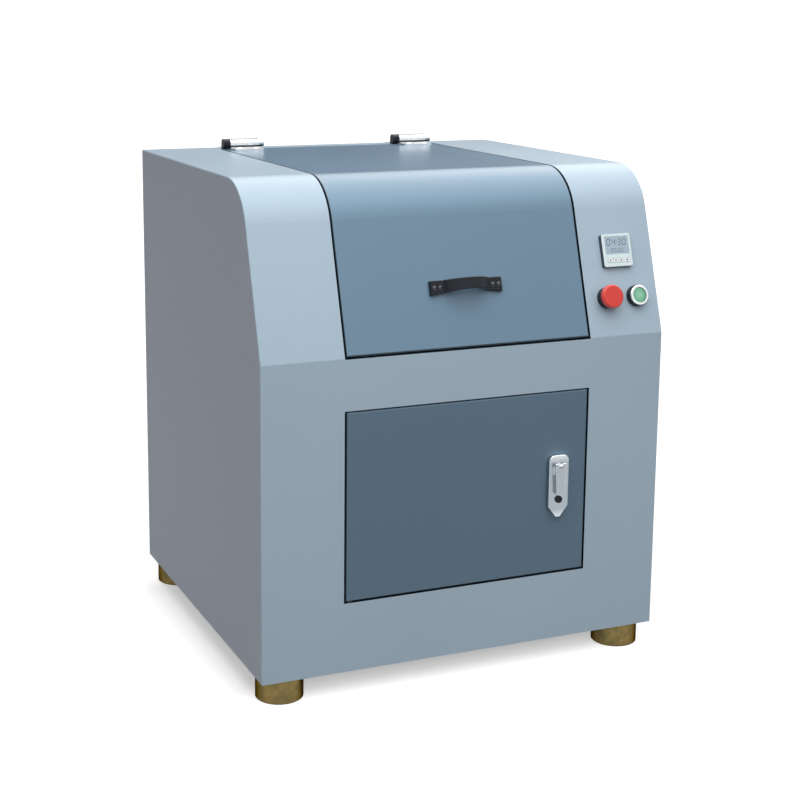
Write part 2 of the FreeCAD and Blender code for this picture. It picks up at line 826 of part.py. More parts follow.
def rail_hinge_leaves():
    """Leaf on the rear strip with the ear at the barrel's right end."""
    leaves = []
    for left in hinge_places():
        ear_left = left + barrel_length + knuckle_gap
        ear_right = ear_left + ear_length
        block_left = left - knuckle_gap - end_block_length
        ear = crosswise(ear_radius, ear_left, ear_right, hinge_y, hinge_z)
        web = block(ear_left, ear_right, hinge_y, hinge_y + ear_radius, top_z, hinge_z)
        plate = block(block_left, ear_right, hinge_y + barrel_radius, hinge_y + rail_leaf_reach,
                      top_z, top_z + leaf_thickness)
        foot = block(ear_left, ear_right, hinge_y + ear_radius - web_thickness,
                     hinge_y + barrel_radius + web_thickness, top_z, top_z + leaf_thickness)
        bore = crosswise(hinge_pin_radius + screw_clearance, ear_left - overshoot, ear_right + overshoot,
                         hinge_y, hinge_z)
        leaves.append(one_body([ear, web, foot, plate]).cut([bore] + leaf_screw_shanks(1, screw_clearance)))
    return group(leaves)


def hinge_end_blocks():
    """Black end block at the barrel's left end, which holds the pin."""
    blocks = []
    for left in hinge_places():
        right = left - knuckle_gap
        start = right - end_block_length
        round_part = crosswise(barrel_radius, start, right, hinge_y, hinge_z)
        foot = block(start, right, hinge_y, hinge_y + barrel_radius, top_z, hinge_z)
        bore = crosswise(hinge_pin_radius + screw_clearance, start + web_thickness, right + overshoot,
                         hinge_y, hinge_z)
        blocks.append(one_body([round_part, foot]).cut(bore))
    return group(blocks)


def hinge_pins():
    """Pin through the end block, the barrel and the ear."""
    return group([crosswise(hinge_pin_radius, left - knuckle_gap - end_block_length + web_thickness,
                            left + barrel_length + knuckle_gap + ear_length, hinge_y, hinge_z)
                  for left in hinge_places()])


# ---------------------------------------------------------------- door
def door_panel():
    """Folded door leaf that closes flush with the front."""
    low = door_low + seam
    high = door_high - seam
    outer = block(-lid_half, lid_half, front_y, front_y + door_depth, low, high)
    outer = round_edges(outer, edge_break, lambda middle: near(middle.y, front_y))
    hollow = block(-lid_half + sheet, lid_half - sheet, front_y + sheet, front_y + door_depth + overshoot,
                   low + sheet, high - sheet)
    radius = door_pin_radius + running_clearance
    pin_holes = upright(radius, door_pin_x, door_pin_y, low - overshoot, high + overshoot)
    boss_hole = on_front(stud(lock_boss_radius + screw_clearance, -sheet - overshoot, overshoot,
                              0, spindle_rise), lock_x, lock_height)
    return outer.cut([hollow, pin_holes, boss_hole])


def door_hinge_pins():
    """Lower pin with a collar that carries the door, and upper pin."""
    collar = door_pin_head - sheet / 2
    inner_low = door_low + seam + sheet + door_pin_overlap
    inner_high = door_high - seam - sheet - door_pin_overlap
    low_head = door_low - sheet - door_pin_head_height
    high_head = door_high + sheet + door_pin_head_height
    lower = one_body([upright(door_pin_radius, door_pin_x, door_pin_y, low_head, inner_low),
                      upright(collar, door_pin_x, door_pin_y, door_low, door_low + seam - free_gap),
                      door_pin_head_disc(low_head)])
    upper = one_body([upright(door_pin_radius, door_pin_x, door_pin_y, inner_high, high_head),
                      door_pin_head_disc(door_high + sheet)])
    return group([lower, upper])


def door_pin_head_disc(low):
    """Head of a door pin, flattened against the back of the cover."""
    disc = upright(door_pin_head, door_pin_x, door_pin_y, low, low + door_pin_head_height)
    room = block(door_pin_x - door_pin_head, door_pin_x + door_pin_head, front_y + sheet,
                 door_pin_y + door_pin_head, low, low + door_pin_head_height)
    return disc.common(room)


# ---------------------------------------------------------------- door lock
def lock_housing():
    """Chromed plate with a pointed lower end, and the boss that passes through the door."""
    half = lock_width / 2
    top = lock_length / 2
    corners = [Vec(-half, top, 0), Vec(-half, lock_taper - top, 0), Vec(-lock_tip / 2, -top, 0),
               Vec(lock_tip / 2, -top, 0), Vec(half, lock_taper - top, 0), Vec(half, top, 0)]
    plate = Part.Face(Part.makePolygon(corners + corners[:1])).extrude(Vec(0, 0, lock_thickness))
    plate = round_edges(plate, lock_corner,
                        lambda middle: near(middle.z, lock_thickness / 2) and near(middle.y, top))
    plate = round_edges(plate, lock_edge, lambda middle: near(middle.z, lock_thickness))
    boss = stud(lock_boss_radius, -sheet - lock_boss_length, 0, 0, spindle_rise)
    pocket_radius = spindle_disc_radius + free_gap
    pocket_floor = lock_thickness - spindle_disc_thickness - free_gap
    cuts = [stud(spindle_radius + running_clearance, -sheet - lock_boss_length - overshoot,
                 lock_thickness, 0, spindle_rise),
            stud(pocket_radius, pocket_floor, lock_thickness + overshoot, 0, spindle_rise),
            stud(lock_button_radius + lock_button_clearance,
                 lock_thickness - 2 * lock_button_travel - lock_button_proud,
                 lock_thickness + overshoot, 0, -lock_button_drop)]
    return on_front(one_body([plate, boss]).cut(cuts), lock_x, lock_height)


def lock_button():
    """Black push button that frees the lever."""
    low = lock_thickness - lock_button_travel - lock_button_proud + free_gap
    button = stud(lock_button_radius, low, lock_thickness + lock_button_proud, 0, -lock_button_drop)
    button = round_edges(button, cap_break, lambda middle: near(middle.z, lock_thickness + lock_button_proud))
    return on_front(button, lock_x, lock_height)


def lock_spindle():
    """Spindle with a disc head and the lug that the lever pivots on."""
    disc_top = lock_thickness - running_clearance
    pin_rise = spindle_rise + lever_pin_offset
    lug_top = lock_thickness + lever_thickness
    pin_height = lock_thickness + free_gap + lever_knuckle
    parts = [stud(spindle_radius, -cam_setback, disc_top - spindle_disc_thickness, 0, spindle_rise),
             stud(spindle_disc_radius, disc_top - spindle_disc_thickness, disc_top, 0, spindle_rise),
             block(-lug_half_width, lug_half_width, pin_rise - lug_half_height, pin_rise + lug_half_height,
                   disc_top - spindle_disc_thickness, lug_top),
             stud(cam_neck_radius, -cam_setback - cam_thickness, -cam_setback, 0, spindle_rise),
             stud(cam_screw_radius, -cam_setback - cam_thickness - cam_screw_height,
                  -cam_setback - cam_thickness, 0, spindle_rise)]
    pin_hole = crosswise(lever_pin_radius + running_clearance, -lock_width, lock_width, pin_rise, pin_height)
    return on_front(one_body(parts).cut(pin_hole), lock_x, lock_height)


def lock_lever():
    """Swing lever, rounded about its cross pin."""
    low = lock_thickness + free_gap
    top = low + lever_thickness
    middle_height = low + lever_knuckle
    pin_rise = spindle_rise + lever_pin_offset
    half = lever_width / 2
    end = lever_end_width / 2
    side_view = Part.Wire([
        Part.makeLine(Vec(-half, lever_end, low), Vec(-half, pin_rise, low)),
        Part.Arc(Vec(-half, pin_rise, low), Vec(-half, pin_rise + lever_knuckle, middle_height),
                 Vec(-half, pin_rise, top)).toShape(),
        Part.makeLine(Vec(-half, pin_rise, top), Vec(-half, lever_end, top)),
        Part.makeLine(Vec(-half, lever_end, top), Vec(-half, lever_end, low))])
    bar = Part.Face(side_view).extrude(Vec(lever_width, 0, 0))
    reach = pin_rise + lever_knuckle + overshoot
    outline = [Vec(-half, reach, low), Vec(-half, pin_rise, low), Vec(-end, lever_end, low),
               Vec(end, lever_end, low), Vec(half, pin_rise, low), Vec(half, reach, low)]
    body = bar.common(Part.Face(Part.makePolygon(outline + outline[:1])).extrude(Vec(0, 0, lever_thickness)))
    body = round_edges(body, lever_corner,
                       lambda middle: near(middle.z, middle_height) and near(middle.y, lever_end)
                       and abs(middle.x) > cap_break)
    slot = block(-lug_half_width - free_gap, lug_half_width + free_gap,
                 pin_rise - lug_half_height - 2 * cap_break, reach, low - overshoot, top + overshoot)
    pin = crosswise(lever_pin_radius, -lug_half_width - cap_break, lug_half_width + cap_break,
                    pin_rise, middle_height)
    return on_front(one_body([body.cut(slot), pin]), lock_x, lock_height)


def lock_cam():
    """Flat tongue behind the door that turns with the spindle."""
    back = -cam_setback - cam_thickness
    tongue = block(-cam_half_width, cam_half_width, spindle_rise - cam_length,
                   spindle_rise + cam_half_width, back, -cam_setback)
    tongue = round_edges(tongue, cam_half_width / 2, lambda middle: near(middle.z, back + cam_thickness / 2))
    hole = stud(cam_neck_radius + screw_clearance, back - overshoot, -cam_setback + overshoot, 0, spindle_rise)
    return on_front(tongue.cut(hole), lock_x, lock_height)


# ---------------------------------------------------------------- timer
def key_places():
    """Middle of each key from the timer's middle, from left to right."""
    return [(index - (key_count - 1) / 2) * key_pitch for index in range(key_count)]


def timer_case():
    """Square bezel with the timer's body behind the control face."""
    half = timer_face / 2
    body_half = timer_body / 2
    bezel = block(-half, half, -half, half, 0, timer_bezel)
    bezel = round_edges(bezel, timer_corner, lambda middle: near(middle.z, timer_bezel / 2))
    bezel = round_edges(bezel, timer_edge, lambda middle: near(middle.z, timer_bezel))
    body = block(-body_half, body_half, -body_half, body_half, -timer_body_depth, 0)
    recess = block(-window_width / 2, window_width / 2, window_rise - window_height / 2,
                   window_rise + window_height / 2, timer_bezel - window_recess, timer_bezel + overshoot)
    wells = []
    for x in key_places():
        half_key = key_width / 2 + free_gap
        half_rise = key_height / 2 + free_gap
        wells.append(block(x - half_key, x + half_key, -key_drop - half_rise, -key_drop + half_rise,
                           timer_bezel - key_well, timer_bezel + overshoot))
    return on_slope(one_body([bezel, body]).cut([recess] + wells), timer_x, timer_rise)


def timer_window():
    """Display window set into the bezel."""
    low = timer_bezel - window_recess
    pane = block(-window_width / 2, window_width / 2, window_rise - window_height / 2,
                 window_rise + window_height / 2, low, low + window_thickness)
    return on_slope(pane, timer_x, timer_rise)


def timer_key(x):
    """One key of the timer."""
    top = timer_bezel + key_proud
    key = block(x - key_width / 2, x + key_width / 2, -key_drop - key_height / 2,
                -key_drop + key_height / 2, top - key_length, top)
    key = round_edges(key, free_gap, lambda middle: near(middle.z, top))
    return on_slope(key, timer_x, timer_rise)


# ---------------------------------------------------------------- push buttons
def button_collar(x, cap_well_radius, cap_well_depth):
    """Black collar with the threaded barrel behind the control face."""
    collar = round_edges(stud(collar_radius, 0, collar_height), cap_break,
                         lambda middle: near(middle.z, collar_height))
    barrel = stud(button_thread_radius, -button_thread_length, 0)
    cuts = [stud(stem_radius + stem_clearance, -stem_well, collar_height + overshoot),
            stud(cap_well_radius, collar_height - cap_well_depth, collar_height + overshoot)]
    return on_slope(one_body([collar, barrel]).cut(cuts), x, button_rise)


def stop_button_cap():
    """Red mushroom cap on its stem."""
    low = collar_height + stop_cap_gap
    top = low + stop_cap_thickness
    head = round_edges(stud(stop_cap_radius, low, top), stop_cap_round, lambda middle: near(middle.z, top))
    head = round_edges(head, cap_break, lambda middle: near(middle.z, low))
    return on_slope(one_body([head, stud(stem_radius, -stem_length, low)]), stop_x, button_rise)


def start_button_cap():
    """Green flush cap on its stem."""
    top = collar_height + ring_height - cap_break
    low = top - start_cap_thickness
    head = round_edges(stud(start_cap_radius, low, top), cap_break, lambda middle: near(middle.z, top))
    return on_slope(one_body([head, stud(stem_radius, -stem_length, low)]), start_x, button_rise)


def start_button_ring():
    """Chromed ring on the green button's collar."""
    ring = round_edges(stud(ring_radius, collar_height, collar_height + ring_height), cap_break,
                       lambda middle: near(middle.z, collar_height + ring_height))
    bore = stud(ring_bore_radius, collar_height - overshoot, collar_height + ring_height + overshoot)
    return on_slope(ring.cut(bore), start_x, button_rise)


def contact_blocks():
    """Switch block on the end of each button's barrel."""
    return group([on_slope(block(-contact_width / 2, contact_width / 2, -contact_height / 2,
                                 contact_height / 2, -button_thread_length - contact_depth,
                                 -button_thread_length), x, button_rise) for x in (stop_x, start_x)])


# ---------------------------------------------------------------- electrics
def electrical_plate():
    """Mounting plate on the inside of the right panel."""
    y = (front_y + rear_y) / 2 + plate_middle
    low = base_z + plate_low
    return block(inner_half - plate_thickness, inner_half, y - plate_length / 2, y + plate_length / 2,
                 low, low + plate_height)


def contactor():
    """Motor contactor with a stepped front."""
    y = (front_y + rear_y) / 2 + plate_middle
    z = base_z + plate_low + plate_height / 2
    face = inner_half - plate_thickness
    body = block(face - contactor_depth + contactor_step, face, y - contactor_width / 2,
                 y + contactor_width / 2, z - contactor_height / 2, z + contactor_height / 2)
    nose = block(face - contactor_depth, face, y - contactor_width / 2, y + contactor_width / 2,
                 z - contactor_height / 2 + contactor_step, z + contactor_height / 2 - contactor_step)
    return one_body([body, nose])


def cable_gland():
    """Screwed gland in the rear panel where the supply lead enters."""
    z = base_z + gland_height
    nut_end = rear_y + gland_nut_thickness
    inside = rear_y - sheet
    parts = [lengthwise(gland_radius, inside - gland_inner_length, nut_end, gland_x, z),
             lengthwise(gland_nut_radius, rear_y, nut_end, gland_x, z),
             lengthwise(gland_nut_radius, inside - gland_nut_thickness, inside, gland_x, z),
             round_edges(lengthwise(gland_dome_radius, nut_end, rear_y + gland_reach, gland_x, z),
                         gland_dome_radius / 3, lambda middle: near(middle.y, rear_y + gland_reach))]
    bore = lengthwise(gland_bore, inside - gland_inner_length - overshoot,
                      rear_y + gland_reach + overshoot, gland_x, z)
    return one_body(parts).cut(bore)


# ---------------------------------------------------------------- vibrating table
def spring_places():
    """Centres of the springs on their circle."""
    step = 2 * math.pi / spring_count
    return [(spring_circle * math.cos(step * (index + 0.5)),
             mill_y + spring_circle * math.sin(step * (index + 0.5))) for index in range(spring_count)]


def spring_deck():
    """Plate across the cabinet that carries the springs."""
    front = mill_y - deck_half_depth
    rear = mill_y + deck_half_depth
    parts = [block(-inner_half, inner_half, front, rear, deck_z, deck_top),
             block(-inner_half, deck_thickness - inner_half, front, rear, deck_z - deck_flange, deck_z),
             block(inner_half - deck_thickness, inner_half, front, rear, deck_z - deck_flange, deck_z)]
    holes = [upright(guide_radius + guide_hole_clearance, x, y, deck_z - overshoot, deck_top + overshoot)
             for x, y in spring_places()]
    holes.append(upright(deck_hole_radius, 0, mill_y, deck_z - overshoot, deck_top + overshoot))
    return one_body(parts).cut(holes)


def table_springs():
    """Ring of helical compression springs under the table."""
    rise = spring_length - spring_wire - 2 * free_gap
    start = deck_top + spring_wire / 2 + free_gap
    helix = Part.makeHelix(rise / spring_turns, rise, spring_radius)
    section = Part.Wire(Part.makeCircle(spring_wire / 2, Vec(spring_radius, 0, 0), Vec(0, 1, 0)))
    coil = Part.Wire(helix).makePipeShell([section], True, True)
    springs = []
    for x, y in spring_places():
        spring = coil.copy()
        spring.translate(Vec(x, y, start))
        springs.append(spring)
    return group(springs)


def spring_plate():
    """Round table plate on the springs."""
    holes = [upright(guide_radius + screw_clearance, x, y, table_z - overshoot, table_z + guide_embed)
             for x, y in spring_places()]
    return upright(table_radius, 0, mill_y, table_z, seat_z).cut(holes)


def guide_studs():
    """Studs through the springs with nuts that stop the table's rise."""
    nut_top = deck_z - free_gap
    nut_low = nut_top - guide_nut_height
    return group([one_body([upright(guide_radius, x, y, nut_low - guide_tail, table_z + guide_embed),
                            hexagon(guide_nut_radius, nut_low, nut_top, x, y)])
                  for x, y in spring_places()])


def bowl_seat():
    """Turned seat on the table with a recess for the bowl."""
    seat = upright(seat_radius, 0, mill_y, seat_z, seat_top)
    return seat.cut(upright(bowl_radius + bowl_fit, 0, mill_y, bowl_z, seat_top + overshoot))


# ---------------------------------------------------------------- vibration motor
def motor_housing():
    """Flanged finned housing with the windings' bore and both bearing seats."""
    flange_low = table_z - motor_flange_thickness
    parts = [upright(motor_flange_radius, 0, mill_y, flange_low, table_z),
             upright(motor_radius, 0, mill_y, motor_low, flange_low)]
    for index in range(fin_count):
        fin = block(motor_radius - fin_thickness, fin_radius, -fin_thickness / 2, fin_thickness / 2,
                    motor_low + fin_margin, flange_low - fin_margin)
        fin.rotate(Vec(0, 0, 0), Vec(0, 0, 1), 360 * index / fin_count)
        fin.translate(Vec(0, mill_y, 0))
        parts.append(fin)
    seat_radius_inside = bearing_radius + running_clearance
    cuts = [upright(motor_bore_radius, 0, mill_y, motor_low + motor_end_wall, table_z - motor_cap_wall),
            upright(shaft_radius + shaft_hole_clearance, 0, mill_y, motor_low - overshoot,
                    table_z - shaft_head_gap + free_gap),
            upright(seat_radius_inside, 0, mill_y, motor_low + motor_end_wall - bearing_width,
                    motor_low + motor_end_wall + free_gap),
            upright(seat_radius_inside, 0, mill_y, table_z - motor_cap_wall - free_gap,
                    table_z - motor_cap_wall + bearing_width)]
    return one_body(parts).cut(cuts)


def motor_bearings():
    """Lower and upper bearing of the motor shaft."""
    lows = (motor_low + motor_end_wall - bearing_width, table_z - motor_cap_wall)
    return group([upright(bearing_radius, 0, mill_y, low, low + bearing_width)
                  .cut(upright(shaft_radius + running_clearance, 0, mill_y, low - overshoot,
                               low + bearing_width + overshoot)) for low in lows])


def motor_rotor():
    """Shaft with the rotor pack pressed onto it."""
    core_low = motor_low + motor_end_wall + rotor_end_gap
    core_high = table_z - motor_cap_wall - rotor_end_gap
    return one_body([upright(shaft_radius, 0, mill_y, motor_low - shaft_tail, table_z - shaft_head_gap),
                     upright(rotor_radius, 0, mill_y, core_low, core_high)])


def eccentric_weight():
    """Half disc clamped on the shaft's lower end, which shakes the table."""
    top = motor_low - weight_gap
    low = top - weight_thickness
    disc = upright(weight_radius, 0, mill_y, low, top)
    half = disc.common(block(-weight_radius, 0, mill_y - weight_radius, mill_y + weight_radius, low, top))
    hub = upright(weight_hub_radius, 0, mill_y, low, top)
    bore = upright(shaft_radius + screw_clearance, 0, mill_y, low - overshoot, top + overshoot)
    return one_body([half, hub]).cut(bore)


# ---------------------------------------------------------------- grinding set
def grinding_bowl():
    """Thick-walled bowl."""
    bowl = upright(bowl_radius, 0, mill_y, bowl_z, bowl_top)
    bowl = round_edges(bowl, bowl_round, lambda middle: near(middle.z, bowl_z))
    hollow = upright(bowl_radius - bowl_wall, 0, mill_y, bowl_z + bowl_floor, bowl_top + overshoot)
    return bowl.cut(hollow)


def bowl_lid():
    """Lid with a spigot that enters the bowl."""
    disc = upright(bowl_radius, 0, mill_y, bowl_top, bowl_lid_top)
    disc = round_edges(disc, mill_round, lambda middle: near(middle.z, bowl_lid_top))
    spigot = upright(bowl_radius - bowl_wall - bowl_fit, 0, mill_y, bowl_top - bowl_spigot, bowl_top)
    return one_body([disc, spigot])


def grinding_ring():
    """Loose grinding ring in the bowl."""
    low = bowl_z + bowl_floor + free_gap
    top = low + mill_ring_height
    ring = upright(mill_ring_radius, 0, mill_y, low, top)
    ring = round_edges(ring, mill_round, lambda middle: near(middle.z, low) or near(middle.z, top))
    return ring.cut(upright(mill_ring_bore, 0, mill_y, low - overshoot, top + overshoot))


def grinding_puck():
    """Loose grinding puck in the ring."""
    low = bowl_z + bowl_floor + free_gap
    top = low + puck_height
    puck = upright(puck_radius, 0, mill_y, low, top)
    return round_edges(puck, mill_round, lambda middle: near(middle.z, low) or near(middle.z, top))


# ---------------------------------------------------------------- clamp
def clamp_posts():
    """Two posts on the seat, each with a neck and a cap."""
    shoulder = seat_top + clamp_post_height
    neck_top = clamp_top + clamp_cap_gap
    return group([one_body([upright(clamp_post_radius, x, mill_y, seat_top, shoulder),
                            upright(clamp_neck_radius, x, mill_y, shoulder, neck_top),
                            upright(clamp_cap_radius, x, mill_y, neck_top, neck_top + clamp_cap_height)])
                  for x in (-post_offset, post_offset)])


def clamp_bar():
    """Bar across the bowl that swings on the left post and hooks round the right one."""
    end = post_offset + clamp_bar_end
    half = clamp_bar_half_width
    bar = block(-end, end, mill_y - half, mill_y + half, clamp_z, clamp_top)
    bar = round_edges(bar, clamp_bar_half_width / 2,
                      lambda middle: near(middle.z, (clamp_z + clamp_top) / 2))
    ears = []
    for side in (-1, 1):
        faces = sorted([mill_y + side * ear_inner, mill_y + side * (ear_inner + cam_ear_thickness)])
        ears.append(block(-cam_ear_half_length, cam_ear_half_length, faces[0], faces[1],
                          clamp_top, clamp_top + cam_ear_height))
    pin = lengthwise(cam_pin_radius, mill_y - ear_inner - cam_ear_thickness,
                     mill_y + ear_inner + cam_ear_thickness, 0, cam_pin_z)
    slot_radius = clamp_neck_radius + clamp_slot_clearance
    cuts = [upright(clamp_neck_radius + running_clearance, -post_offset, mill_y,
                    clamp_z - overshoot, clamp_top + overshoot),
            upright(slot_radius, post_offset, mill_y, clamp_z - overshoot, clamp_top + overshoot),
            block(post_offset - slot_radius, post_offset + slot_radius, mill_y, mill_y + half + overshoot,
                  clamp_z - overshoot, clamp_top + overshoot),
            upright(plunger_radius + running_clearance, 0, mill_y, clamp_z - overshoot,
                    clamp_top + overshoot)]
    return one_body([bar.cut(cuts)] + ears + [pin])


def cam_lever():
    """Hand lever with the eccentric that presses the plunger down."""
    half = clamp_cam_half_width
    cam = lengthwise(clamp_cam_radius, mill_y - half, mill_y + half, 0, cam_pin_z - clamp_cam_offset)
    arm_low = cam_pin_z + clamp_lever_low
    arm = block(0, clamp_lever_length, mill_y - clamp_lever_half_width, mill_y + clamp_lever_half_width,
                arm_low, arm_low + clamp_lever_thickness)
    arm = round_edges(arm, mill_round, lambda middle: near(middle.x, clamp_lever_length))
    hub = lengthwise(clamp_lever_thickness, mill_y - half, mill_y + half, 0, cam_pin_z)
    bore = lengthwise(cam_pin_radius + running_clearance, mill_y - half - overshoot,
                      mill_y + half + overshoot, 0, cam_pin_z)
    return one_body([cam, hub, arm]).cut(bore)


def clamp_plunger():
    """Plunger in the bar with the foot that holds the bowl's lid down."""
    foot_low = bowl_lid_top + free_gap
    foot_top = foot_low + plunger_foot_thickness
    foot = round_edges(upright(plunger_foot_radius, 0, mill_y, foot_low, foot_top), mill_round,
                       lambda middle: near(middle.z, foot_top))
    return one_body([foot, upright(plunger_radius, 0, mill_y, foot_top, cam_low - clamp_cam_gap)])


# ---------------------------------------------------------------- write every node
def nodes():
    """Every sub-part under its name."""
    parts = {
        "front_cover": front_cover(), "left_side_panel": side_panel(-1), "right_side_panel": side_panel(1),
        "rear_panel": rear_panel(), "base_plate": base_plate(), "cabinet_feet": cabinet_feet(),
        "foot_bolts": foot_bolts(), "frame_posts": frame_posts(), "chamber_floor": chamber_floor(),
        "chamber_walls": chamber_walls(), "lid_seal": lid_seal(), "lid_shell": lid_shell(),
        "lid_liner": lid_liner(), "lid_handle": lid_handle(), "handle_screws": handle_screws(),
        "lid_hinge_leaves": lid_hinge_leaves(), "rail_hinge_leaves": rail_hinge_leaves(),
        "hinge_end_blocks": hinge_end_blocks(), "hinge_pins": hinge_pins(),
        "lid_leaf_screws": leaf_screws(-1), "rail_leaf_screws": leaf_screws(1),
        "door_panel": door_panel(), "door_hinge_pins": door_hinge_pins(),
        "lock_housing": lock_housing(), "lock_button": lock_button(), "lock_spindle": lock_spindle(),
        "lock_lever": lock_lever(), "lock_cam": lock_cam(),
        "timer_case": timer_case(), "timer_window": timer_window(),
        "stop_button_collar": button_collar(stop_x, stem_radius + stem_clearance, cap_break),
        "start_button_collar": button_collar(start_x, start_cap_radius + stem_clearance, start_cap_well),
        "stop_button_cap": stop_button_cap(), "start_button_cap": start_button_cap(),
        "start_button_ring": start_button_ring(), "contact_blocks": contact_blocks(),
        "electrical_plate": electrical_plate(), "contactor": contactor(), "cable_gland": cable_gland(),
        "spring_deck": spring_deck(), "table_springs": table_springs(), "spring_plate": spring_plate(),
        "guide_studs": guide_studs(), "bowl_seat": bowl_seat(), "motor_housing": motor_housing(),
        "motor_bearings": motor_bearings(), "motor_rotor": motor_rotor(),
        "eccentric_weight": eccentric_weight(), "grinding_bowl": grinding_bowl(), "bowl_lid": bowl_lid(),
        "grinding_ring": grinding_ring(), "grinding_puck": grinding_puck(),
        "clamp_posts": clamp_posts(), "clamp_bar": clamp_bar(), "cam_lever": cam_lever(),
        "clamp_plunger": clamp_plunger(),
    }
    for index, x in enumerate(key_places()):
        parts["timer_key_" + str(index + 1)] = timer_key(x)
    return parts


os.makedirs("parts", exist_ok=True)
for name, shape in nodes().items():
    shape.exportStep("parts/" + name + ".step")
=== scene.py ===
import logging
import math
from dataclasses import dataclass
from enum import Enum
from functools import partialmethod
from typing import ClassVar, Iterable, Sequence

import bmesh
import bpy
import numpy as np
from mathutils import Matrix, Vector


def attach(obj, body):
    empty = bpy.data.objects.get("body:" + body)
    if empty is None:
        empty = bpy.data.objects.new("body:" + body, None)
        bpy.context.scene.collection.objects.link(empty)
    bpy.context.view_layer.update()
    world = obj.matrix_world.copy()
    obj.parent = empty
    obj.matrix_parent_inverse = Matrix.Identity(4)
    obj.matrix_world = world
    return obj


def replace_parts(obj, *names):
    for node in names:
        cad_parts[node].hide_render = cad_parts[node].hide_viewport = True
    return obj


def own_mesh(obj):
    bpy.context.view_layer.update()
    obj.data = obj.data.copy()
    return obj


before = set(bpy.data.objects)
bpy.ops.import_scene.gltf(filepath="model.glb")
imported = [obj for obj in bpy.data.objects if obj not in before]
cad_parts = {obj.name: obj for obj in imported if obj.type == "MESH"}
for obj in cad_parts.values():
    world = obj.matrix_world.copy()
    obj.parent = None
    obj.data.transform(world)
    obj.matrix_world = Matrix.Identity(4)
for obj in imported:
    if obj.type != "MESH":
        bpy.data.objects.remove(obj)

LOG = logging.getLogger("lab_mill")
MM = 0.001
LEAN = math.radians(17.5)
SMOOTH_BELOW = math.radians(40.0)

Colour = tuple[float, float, float]
Triple = tuple[float, float, float]
MeshData = tuple[np.ndarray, list[list[int]]]


# ---------------------------------------------------------------- node writing
class Signal:
    """What comes out of a node. Arithmetic on it writes Math nodes; comparisons give 1 or 0."""

    def __init__(self, sheet: "NodeSheet", socket: bpy.types.NodeSocket) -> None:
        """Keep the sheet it is on and the output it comes from."""
        self.sheet = sheet
        self.socket = socket

    def maths(self, other: "Signal | float" = 0.0, operation: str = "ADD") -> "Signal":
        """Result of Blender's Math operation of that name on this and the other."""
        return self.sheet.maths(operation, self, other)

    def __rsub__(self, other: float) -> "Signal":
        """Difference from a number."""
        return self.sheet.maths("SUBTRACT", other, self)

    __add__ = partialmethod(maths, operation="ADD")
    __sub__ = partialmethod(maths, operation="SUBTRACT")
    __mul__ = partialmethod(maths, operation="MULTIPLY")
    __truediv__ = partialmethod(maths, operation="DIVIDE")
    __pow__ = partialmethod(maths, operation="POWER")
    __abs__ = partialmethod(maths, operation="ABSOLUTE")
    __lt__ = partialmethod(maths, operation="LESS_THAN")
    __gt__ = partialmethod(maths, operation="GREATER_THAN")
    at_most = partialmethod(maths, operation="MINIMUM")
    at_least = partialmethod(maths, operation="MAXIMUM")
    root = partialmethod(maths, operation="SQRT")
    sine = partialmethod(maths, operation="SINE")

    def around(self, middle: float, amount: float) -> "Signal":
        """A value that swings about the middle, by the amount in all, as this goes from 0 to 1."""
        return (self - 0.5) * amount + middle


